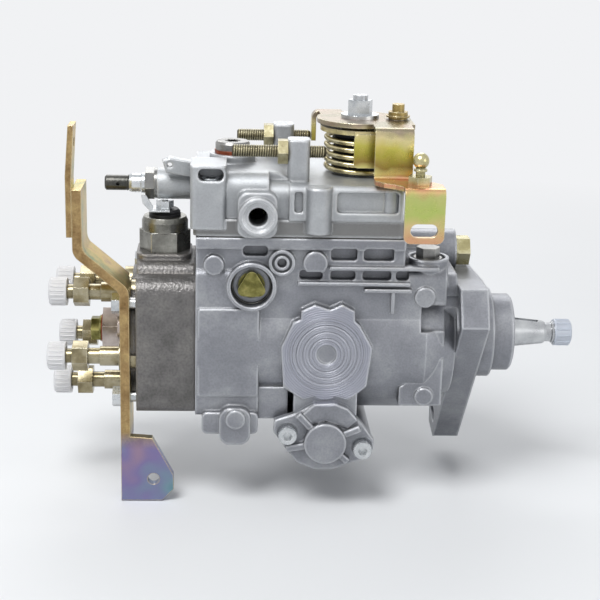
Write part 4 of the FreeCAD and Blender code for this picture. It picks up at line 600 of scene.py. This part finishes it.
def grown(name, tree, inputs, material, places):
    """Runs a node tree once for each place and joins the plain meshes into one."""
    shape = bmesh.new()
    for place in places:
        holder = bpy.data.objects.new(name + "_source", bpy.data.meshes.new(name + "_empty"))
        bpy.context.scene.collection.objects.link(holder)
        modifier = holder.modifiers.new("rule", "NODES")
        modifier.node_group = tree
        sockets = {s.name: s.identifier for s in tree.interface.items_tree
                   if s.item_type == "SOCKET" and s.in_out == "INPUT"}
        for label, value in inputs.items():
            modifier[sockets[label]] = value
        modifier[sockets["Finish"]] = material
        graph = bpy.context.evaluated_depsgraph_get()
        mesh = bpy.data.meshes.new_from_object(holder.evaluated_get(graph))
        holder.modifiers.remove(modifier)
        bpy.data.objects.remove(holder)
        mesh.transform(place)
        pour(shape, mesh)
    return from_bmesh(name, shape)


def start_tree(name, inputs):
    tree = bpy.data.node_groups.new(name, "GeometryNodeTree")
    tree.interface.new_socket("Geometry", in_out="INPUT", socket_type="NodeSocketGeometry")
    for label, kind in inputs:
        tree.interface.new_socket(label, in_out="INPUT", socket_type=kind)
    tree.interface.new_socket("Finish", in_out="INPUT", socket_type="NodeSocketMaterial")
    tree.interface.new_socket("Geometry", in_out="OUTPUT", socket_type="NodeSocketGeometry")
    return tree, add_node(tree, "NodeGroupInput"), add_node(tree, "NodeGroupOutput")


def end_tree(tree, source, shape, out):
    real = add_node(tree, "GeometryNodeRealizeInstances", None, {"Geometry": shape})
    done = add_node(tree, "GeometryNodeSetMaterial", None, {
        "Geometry": real.outputs["Geometry"], "Material": source.outputs["Finish"]})
    tree.links.new(done.outputs["Geometry"], out.inputs["Geometry"])
    return tree


def wound_wire_tree():
    """A wire of any section wound along Z: a coil spring, or the ridge of a thread."""
    tree, source, out = start_tree("wound_wire", (
        ("Radius", "NodeSocketFloat"), ("Wire Radius", "NodeSocketFloat"), ("Length", "NodeSocketFloat"),
        ("Turns", "NodeSocketFloat"), ("Steps", "NodeSocketInt"), ("Sides", "NodeSocketInt")))
    helix = add_node(tree, "GeometryNodeCurveSpiral", None, {
        "Resolution": source.outputs["Steps"], "Rotations": source.outputs["Turns"],
        "Start Radius": source.outputs["Radius"], "End Radius": source.outputs["Radius"],
        "Height": source.outputs["Length"]})
    section = add_node(tree, "GeometryNodeCurvePrimitiveCircle", None, {
        "Resolution": source.outputs["Sides"], "Radius": source.outputs["Wire Radius"]})
    upright = add_node(tree, "GeometryNodeSetCurveNormal", {"mode": "Z_UP"}, {
        "Curve": helix.outputs["Curve"]})
    wire = add_node(tree, "GeometryNodeCurveToMesh", None, {
        "Curve": upright.outputs["Curve"], "Profile Curve": section.outputs["Curve"], "Fill Caps": True})
    return end_tree(tree, source, wire.outputs["Mesh"], out)


def rib_ring_tree():
    """Upright ribs set around a circle: the grip of a cap, or the knurl on a screw's head."""
    tree, source, out = start_tree("rib_ring", (
        ("Radius", "NodeSocketFloat"), ("Rib Radius", "NodeSocketFloat"), ("Length", "NodeSocketFloat"),
        ("Count", "NodeSocketInt"), ("Sides", "NodeSocketInt")))
    ring = add_node(tree, "GeometryNodeMeshCircle", None, {
        "Vertices": source.outputs["Count"], "Radius": source.outputs["Radius"]})
    rib = add_node(tree, "GeometryNodeMeshCylinder", None, {
        "Vertices": source.outputs["Sides"], "Radius": source.outputs["Rib Radius"],
        "Depth": source.outputs["Length"]})
    half = add_node(tree, MATH, TIMES, {0: source.outputs["Length"], 1: 0.5})
    lift = add_node(tree, "ShaderNodeCombineXYZ", None, {"Z": half.outputs["Value"]})
    raised = add_node(tree, "GeometryNodeTransform", None, {
        "Geometry": rib.outputs["Mesh"], "Translation": lift.outputs["Vector"]})
    around = add_node(tree, "GeometryNodeInstanceOnPoints", None, {
        "Points": ring.outputs["Mesh"], "Instance": raised.outputs["Geometry"]})
    return end_tree(tree, source, around.outputs["Instances"], out)


def coil_inputs(radius, wire, length, turns, steps, sides):
    """What the wound wire's tree asks for: steps are those of one turn, sides those of the wire's section."""
    return {"Radius": radius, "Wire Radius": wire / 2, "Length": length, "Turns": float(turns),
            "Steps": steps, "Sides": sides}


def lathe(profile, place, segments=48):
    """A turned mesh from (radius, distance) corners, closed where the radius is zero."""
    shape = bmesh.new()
    rings = []
    for radius, along in profile:
        if radius == 0:
            rings.append([shape.verts.new(place @ Vector((0, 0, along)))])
            continue
        turns = [2 * math.pi * i / segments for i in range(segments)]
        circle = [Vector((radius * math.cos(turn), radius * math.sin(turn), along)) for turn in turns]
        rings.append([shape.verts.new(place @ corner) for corner in circle])
    for a, b in zip(rings, rings[1:]):
        for i in range(segments):
            j = (i + 1) % segments
            corners = [a[i % len(a)], b[i % len(b)], b[j % len(b)], a[j % len(a)]]
            unique = list(dict.fromkeys(corners))
            if len(unique) > 2:
                shape.faces.new(unique)
    return shape


# Settings that a user would change


class PumpCastings(bpy.types.PropertyGroup):
    housing_tint: StringProperty(name="Housing", description="Main colour of the die-cast housing, sRGB hex",
                                 default="#919399")
    housing_shade: StringProperty(name="Housing shade", description="Darker patches of the casting, sRGB hex",
                                  default="#86888E")
    housing_light: StringProperty(name="Housing light",
                                  description="Lighter patches of the casting, sRGB hex",
                                  default="#A6A8AC")
    cover_tint: StringProperty(name="Cover", description="Colour of the governor cover, sRGB hex",
                               default="#ABAEB1")
    head_tint: StringProperty(name="Head", description="Colour of the hydraulic head, sRGB hex",
                              default="#747271")


class PumpPlatings(bpy.types.PropertyGroup):
    lever_tint: StringProperty(name="Lever", description="Yellow passivation of the lever, sRGB hex",
                               default="#C9C06A")
    bracket_tint: StringProperty(name="Bracket", description="Brown passivation of the bracket, sRGB hex",
                                 default="#A68A60")
    cap_tint: StringProperty(name="Caps", description="Milky plastic of the outlets' dust caps, sRGB hex",
                             default="#FAFAFC")
    shaft_cap_tint: StringProperty(name="Shaft cap", description="Plastic of the shaft's dust cap, sRGB hex",
                                   default="#DDE4F0")


class PumpSprings(bpy.types.PropertyGroup):
    wire: FloatProperty(name="Wire", description="Diameter of the lever spring's wire",
                        default=0.0028, unit="LENGTH")
    turns: FloatProperty(name="Turns", description="Turns of the lever spring", default=5.0, min=1.0)
    thread_pitch: FloatProperty(name="Thread pitch",
                                description="Pitch of the screws' threads, coarser than real so they show",
                                default=0.00125, unit="LENGTH")
    cap_ribs: IntProperty(name="Cap ribs", description="Grip ribs around each dust cap", default=20, min=3)
    knurl_ribs: IntProperty(name="Knurl ribs",
                            description="Knurl ridges around a screw's head, coarser than real so they show",
                            default=32, min=8)


class PumpStage(bpy.types.PropertyGroup):
    floor_tint: StringProperty(name="Floor", description="Colour of the plain floor, sRGB hex",
                               default="#E4E6E8")
    focal_pixels: FloatProperty(name="Focal length",
                                description="Focal length in pixels of the 600 pixel frame",
                                default=1385.0)
    yaw: FloatProperty(name="Yaw", description="Turn of the view towards +X",
                       default=math.radians(3.2), subtype="ANGLE")
    pitch: FloatProperty(name="Pitch", description="Tilt of the view below level",
                         default=math.radians(16.3), subtype="ANGLE")
    roll: FloatProperty(name="Roll", description="Roll of the camera",
                        default=math.radians(1.5), subtype="ANGLE")
    distance: FloatProperty(name="Distance", description="Depth of the model's origin from the camera",
                            default=0.779, unit="LENGTH")
    origin_pixel: FloatVectorProperty(name="Origin pixel",
                                      description="Where the model's origin is seen in the frame",
                                      size=2, default=(472.4, 331.2))


# Operators


class PUMP_OT_platings(bpy.types.Operator):
    """Gives every carried-over CAD piece its own finish"""
    bl_idname = "pump.platings"
    bl_label = "Castings and Platings"

    def execute(self, context):
        named = {node: name for name, nodes in NODE_FINISH.items() for node in nodes}
        for node, solid in NODES.items():
            solid.data.materials.clear()
            solid.data.materials.append(finish(named.get(node, "hardened")))
        return {"FINISHED"}


class PUMP_OT_lever_spring(bpy.types.Operator):
    """Winds the return spring around the lever's ribbed bushing"""
    bl_idname = "pump.lever_spring"
    bl_label = "Lever Spring"

    def execute(self, context):
        springs = context.scene.pump_springs
        low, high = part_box("return_spring")
        centre = (low + high) / 2
        wire = springs.wire
        radius = (high.x - low.x - wire) / 2
        length = high.z - low.z - wire
        inputs = coil_inputs(radius, wire, length, springs.turns, steps=40, sides=16)
        start = set_along((centre.x, centre.y, low.z + wire / 2), "Z")
        mesh = grown("lever_return_spring", wound_wire_tree(), inputs, finish("wire"), [start])
        piece = adopt("lever_return_spring", mesh, finish("wire"), "pump")
        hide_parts("return_spring")
        return {"FINISHED"}


class PUMP_OT_timing_spring(bpy.types.Operator):
    """Winds the timing piston's return spring"""
    bl_idname = "pump.timing_spring"
    bl_label = "Timing Spring"

    def execute(self, context):
        low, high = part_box("timing_spring")
        centre = (low + high) / 2
        wire, turns = 1.4 * MM, 6
        radius = (high.x - low.x - wire) / 2
        length = high.y - low.y - wire
        inputs = coil_inputs(radius, wire, length, turns, steps=36, sides=12)
        start = set_along((centre.x, low.y + wire / 2, centre.z), "Y")
        mesh = grown("timing_return_spring", wound_wire_tree(), inputs, finish("wire"), [start])
        piece = adopt("timing_return_spring", mesh, finish("wire"), "pump")
        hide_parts("timing_spring")
        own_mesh(piece)
        return {"FINISHED"}


class PUMP_OT_pad_rings(bpy.types.Operator):
    """Raises the turning marks on the round machined pad"""
    bl_idname = "pump.pad_rings"
    bl_label = "Pad Turning Marks"

    def execute(self, context):
        tree, wire = wound_wire_tree(), 0.5 * MM
        place = set_along(Vector(PAD_CENTRE) * MM, "-Y")
        whole = bmesh.new()
        for radius in PAD_RINGS:
            inputs = coil_inputs(radius * MM, wire, length=0.0, turns=1, steps=96, sides=6)
            pour(whole, grown("ring", tree, inputs, finish("casting"), [place]))
        adopt("pad_turning_rings", from_bmesh("pad_turning_rings", whole), finish("casting"), "pump")
        return {"FINISHED"}


class PUMP_OT_threads(bpy.types.Operator):
    """Rolls the ridges of the threads on the two stop screws and the full-load screw"""
    bl_idname = "pump.threads"
    bl_label = "Screw Threads"

    def execute(self, context):
        pitch = context.scene.pump_springs.thread_pitch
        ridge = 0.56 * pitch
        for name, plating, core, runs in THREADS:
            whole = bmesh.new()
            for start, length in runs:
                inputs = coil_inputs(core, ridge, length, turns=length / pitch, steps=24, sides=6)
                pour(whole, grown(name + "_ridge", wound_wire_tree(), inputs, finish(plating),
                                  [set_along(start, "X")]))
            adopt(name, from_bmesh(name, whole), finish(plating), "pump")
        return {"FINISHED"}


class PUMP_OT_knurls(bpy.types.Operator):
    """Rolls the upright knurl around the heads of the socket screws"""
    bl_idname = "pump.knurls"
    bl_label = "Screw Head Knurls"

    def execute(self, context):
        inputs = {"Radius": 4.82 * MM, "Rib Radius": 0.3 * MM, "Length": 4.7 * MM, "Sides": 6,
                  "Count": context.scene.pump_springs.knurl_ribs}
        above_seat = 0.2
        places = [set_along(Vector((x, y, z + above_seat)) * MM, "Z") for x, y, z in COVER_SCREW_SEATS]
        for x, z in TIMING_SCREW_SEATS:
            places.append(set_along(Vector((x, -TIMING_SEAT_Y, z)) * MM, "-Y"))
            places.append(set_along(Vector((x, TIMING_SEAT_Y, z)) * MM, "Y"))
        mesh = grown("screw_head_knurls", rib_ring_tree(), inputs, finish("zinc"), places)
        adopt("screw_head_knurls", mesh, finish("zinc"), "pump")
        return {"FINISHED"}


class PUMP_OT_dust_caps(bpy.types.Operator):
    """Moulds the ribbed dust caps on the five outlets and on the shaft's threaded end"""
    bl_idname = "pump.dust_caps"
    bl_label = "Dust Caps"

    def execute(self, context):
        outlets = []
        for i in range(OUTLETS):
            turn = math.radians(FIRST_OUTLET - OUTLET_STEP * i)
            spot = Vector((OUTLET_CAP_X, -OUTLET_CIRCLE * math.cos(turn), OUTLET_CIRCLE * math.sin(turn)))
            outlets.append(set_along(spot * MM, "-X"))
        self.mould("outlet_dust_caps", "outlet_caps", "cap", "pump", outlets, radius=7.35, length=9.7,
                   bore=5.2, ribs=context.scene.pump_springs.cap_ribs, rib=0.42)
        shaft_end = set_along((SHAFT_CAP_X * MM, 0, 0), "X")
        self.mould("shaft_dust_cap", "shaft_cap", "blue_cap", "drive", [shaft_end], radius=7.2, length=9.6,
                   bore=5.9, ribs=12, rib=0.6)
        return {"FINISHED"}

    def mould(self, name, node, plastic, body, places, radius, length, bore, ribs, rib):
        """Turns each cap's shell, with a rim at its mouth and a dimple in its end, and sets ribs around it.

        Radius, length, bore and rib are millimetres.
        """
        rim, wall, dimple, chamfer = 0.25, 1.4, 0.35, 1.1
        ribs_start = 1.1
        inner_end, dimple_floor = length - wall, length - dimple
        corners = [(bore, 0), (radius, 0), (radius + rim, 0.3), (radius + rim, 0.9), (radius, 1.2),
                   (radius, length - chamfer), (radius - 0.35, length - 0.35), (radius - chamfer, length),
                   (2.2, length), (1.6, dimple_floor), (0, dimple_floor), (0, inner_end), (bore, inner_end),
                   (bore, 0)]
        profile = [(out * MM, along * MM) for out, along in corners]
        inputs = {"Radius": (radius - 0.1) * MM, "Rib Radius": rib * MM,
                  "Length": (length - 2 * ribs_start) * MM, "Count": ribs, "Sides": 8}
        whole = bmesh.new()
        for place in places:
            pour(whole, from_bmesh(name + "_shell", lathe(profile, place), smooth=False))
        lift = Matrix.Translation((0, 0, ribs_start * MM))
        pour(whole, grown(name + "_grip", rib_ring_tree(), inputs, finish(plastic),
                          [place @ lift for place in places]))
        piece = adopt(name, from_bmesh(name, whole), finish(plastic), body)
        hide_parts(node)


class PUMP_OT_well_boss(bpy.types.Operator):
    """Closes the panel in the cover's near side with the round wall of the screw's well"""
    bl_idname = "pump.well_boss"
    bl_label = "Screw Well Boss"

    def execute(self, context):
        near_front_screw = COVER_SCREW_SEATS[3]
        x, y, _ = near_front_screw
        radius, back, foot, top = 5.9, -38.6, 75.6, 87.4
        half_turn, steps = 44, 20
        turns = [math.radians(-half_turn + 2 * half_turn * i / steps) for i in range(steps + 1)]
        arc = [(x + radius * math.sin(turn), y - radius * math.cos(turn)) for turn in turns]
        corners = [(arc[0][0], back)] + arc + [(arc[-1][0], back)]
        shape = bmesh.new()
        low, high = ([shape.verts.new((a * MM, b * MM, z * MM)) for a, b in corners] for z in (foot, top))
        for i in range(len(low)):
            j = (i + 1) % len(low)
            shape.faces.new((low[i], low[j], high[j], high[i]))
        shape.faces.new(low)
        shape.faces.new(list(reversed(high)))
        adopt("cover_well_boss", from_bmesh("cover_well_boss", shape), finish("cover"), "pump")
        return {"FINISHED"}


class PUMP_OT_snap_ring(bpy.types.Operator):
    """Springs the open wire ring into the recess around the inspection plug"""
    bl_idname = "pump.snap_ring"
    bl_label = "Snap Ring"

    def execute(self, context):
        place = set_along(Vector(PLUG_RECESS) * MM, "-Y")
        gap_turn = Matrix.Rotation(math.radians(105), 4, "Z")
        inputs = coil_inputs(10.1 * MM, 1.1 * MM, length=0.0, turns=0.9, steps=64, sides=10)
        mesh = grown("plug_snap_ring", wound_wire_tree(), inputs, finish("dark"), [place @ gap_turn])
        adopt("plug_snap_ring", mesh, finish("dark"), "pump")
        return {"FINISHED"}


class PUMP_OT_stage(bpy.types.Operator):
    """Sets the pale floor, the soft lights and the camera at the photograph's angle"""
    bl_idname = "pump.stage"
    bl_label = "Stage"

    def execute(self, context):
        stage = context.scene.pump_stage
        self.floor(stage)
        self.camera(context, stage)
        self.lights(context)
        return {"FINISHED"}

    def floor(self, stage):
        low = CAD_BOX[0][2]
        below, size, fade_from, fade_to = 0.0005, 30.0, 0.25, 0.9
        patches_a_metre = 4.0
        shape = bmesh.new()
        bmesh.ops.create_grid(shape, x_segments=1, y_segments=1, size=size)
        bmesh.ops.translate(shape, verts=shape.verts, vec=(0, 0, low - below))
        mesh = from_bmesh("floor", shape, smooth=False)
        material, tree, shader, where = start_material("plain_floor")
        speckle = add_node(tree, NOISE, None, {"Vector": where, "Scale": patches_a_metre})
        tint = add_node(tree, RAMP, None, {"Fac": speckle.outputs["Fac"]})
        set_ramp(tint, [(0.3, stage.floor_tint), (0.7, "#E8EAEC")])
        tree.links.new(tint.outputs["Color"], shader.inputs["Base Color"])
        shader.inputs["Roughness"].default_value = 0.8
        # Further out the floor passes into the pale background, so that no horizon shows
        glow = add_node(tree, "ShaderNodeEmission", None, {"Color": to_linear(BACKGROUND)})
        reach = add_node(tree, VECTOR, {"operation": "LENGTH"}, {0: where}).outputs["Value"]
        away = add_node(tree, RANGE, None, {
            "Value": reach, "From Min": fade_from, "From Max": fade_to}).outputs["Result"]
        far = add_node(tree, MATH, TIMES, {0: away, 1: seen_directly(tree)}).outputs["Value"]
        mix = add_node(tree, "ShaderNodeMixShader", None, {
            0: far, 1: shader.outputs["BSDF"], 2: glow.outputs["Emission"]})
        tree.links.new(mix.outputs["Shader"], tree.nodes["Material Output"].inputs["Surface"])
        mesh.materials.append(material)
        floor = bpy.data.objects.new("floor", mesh)
        bpy.context.scene.collection.objects.link(floor)

    def camera(self, context, stage):
        yaw, pitch, roll = stage.yaw, stage.pitch, stage.roll
        look = Vector((math.sin(yaw) * math.cos(pitch), math.cos(yaw) * math.cos(pitch), -math.sin(pitch)))
        level_right = Vector((math.cos(yaw), -math.sin(yaw), 0))
        level_up = level_right.cross(look)
        right = level_right * math.cos(roll) + level_up * math.sin(roll)
        up = level_up * math.cos(roll) - level_right * math.sin(roll)
        frame_pixels = 600.0
        across = (stage.origin_pixel[0] - frame_pixels / 2) / stage.focal_pixels
        down = (stage.origin_pixel[1] - frame_pixels / 2) / stage.focal_pixels
        place = -(look + right * across - up * down) * stage.distance
        data = bpy.data.cameras.new("photograph")
        data.sensor_width = 36.0
        data.lens = stage.focal_pixels / frame_pixels * data.sensor_width
        camera = bpy.data.objects.new("photograph", data)
        turn = Matrix((right, up, -look)).transposed().to_4x4()
        camera.matrix_world = Matrix.Translation(place) @ turn
        context.scene.collection.objects.link(camera)
        context.scene.camera = camera

    def lights(self, context):
        for name, place, aim, size, power in (
                ("key_light", (-0.45, -0.5, 0.95), (-0.08, 0, 0.02), 0.5, 9.5),
                ("fill_light", (0.8, -0.75, 0.35), (-0.05, 0, 0.0), 0.6, 2.2),
                ("back_light", (-0.1, 0.85, 0.7), (-0.08, 0, 0.03), 0.7, 4.5)):
            data = bpy.data.lights.new(name, "AREA")
            data.size = size
            data.energy = power
            lamp = bpy.data.objects.new(name, data)
            lamp.location = place
            lamp.rotation_euler = (Vector(aim) - Vector(place)).to_track_quat("-Z", "Y").to_euler()
            context.scene.collection.objects.link(lamp)
        world = bpy.data.worlds.new("studio")
        world.use_nodes = True
        context.scene.world = world
        tree = world.node_tree
        back = tree.nodes["Background"]
        back.inputs["Color"].default_value = to_linear(BACKGROUND)
        on_object = 0.4
        strength = add_node(tree, RANGE, None, {"Value": seen_directly(tree), "To Min": on_object})
        tree.links.new(strength.outputs["Result"], back.inputs["Strength"])
        context.scene.view_settings.view_transform = "Standard"


class PUMP_PT_panel(bpy.types.Panel):
    """Lists the pump's pieces and settings"""
    bl_label = "Injection Pump"
    bl_idname = "PUMP_PT_panel"
    bl_space_type = "VIEW_3D"
    bl_region_type = "UI"
    bl_category = "Pump"

    def draw(self, context):
        for group, _ in GROUPS:
            settings = getattr(context.scene, group)
            for name in settings.__annotations__:
                self.layout.prop(settings, name)
        for operator in OPERATORS:
            self.layout.operator(operator.bl_idname)


OPERATORS = (PUMP_OT_platings, PUMP_OT_lever_spring, PUMP_OT_timing_spring, PUMP_OT_pad_rings,
             PUMP_OT_threads, PUMP_OT_knurls, PUMP_OT_dust_caps, PUMP_OT_well_boss, PUMP_OT_snap_ring,
             PUMP_OT_stage)
GROUPS = (("pump_castings", PumpCastings), ("pump_platings", PumpPlatings), ("pump_springs", PumpSprings),
          ("pump_stage", PumpStage))


def register():
    for name, group in GROUPS:
        bpy.utils.register_class(group)
        setattr(bpy.types.Scene, name, PointerProperty(type=group))
    for operator in OPERATORS:
        bpy.utils.register_class(operator)
    bpy.utils.register_class(PUMP_PT_panel)


def unregister():
    bpy.utils.unregister_class(PUMP_PT_panel)
    for operator in reversed(OPERATORS):
        bpy.utils.unregister_class(operator)
    for name, group in reversed(GROUPS):
        delattr(bpy.types.Scene, name)
        bpy.utils.unregister_class(group)


def main():
    register()
    bpy.ops.pump.platings()
    bpy.ops.pump.lever_spring()
    bpy.ops.pump.timing_spring()
    bpy.ops.pump.pad_rings()
    bpy.ops.pump.threads()
    bpy.ops.pump.knurls()
    bpy.ops.pump.dust_caps()
    bpy.ops.pump.well_boss()
    bpy.ops.pump.snap_ring()
    bpy.ops.pump.stage()


if __name__ == "__main__":
    main()
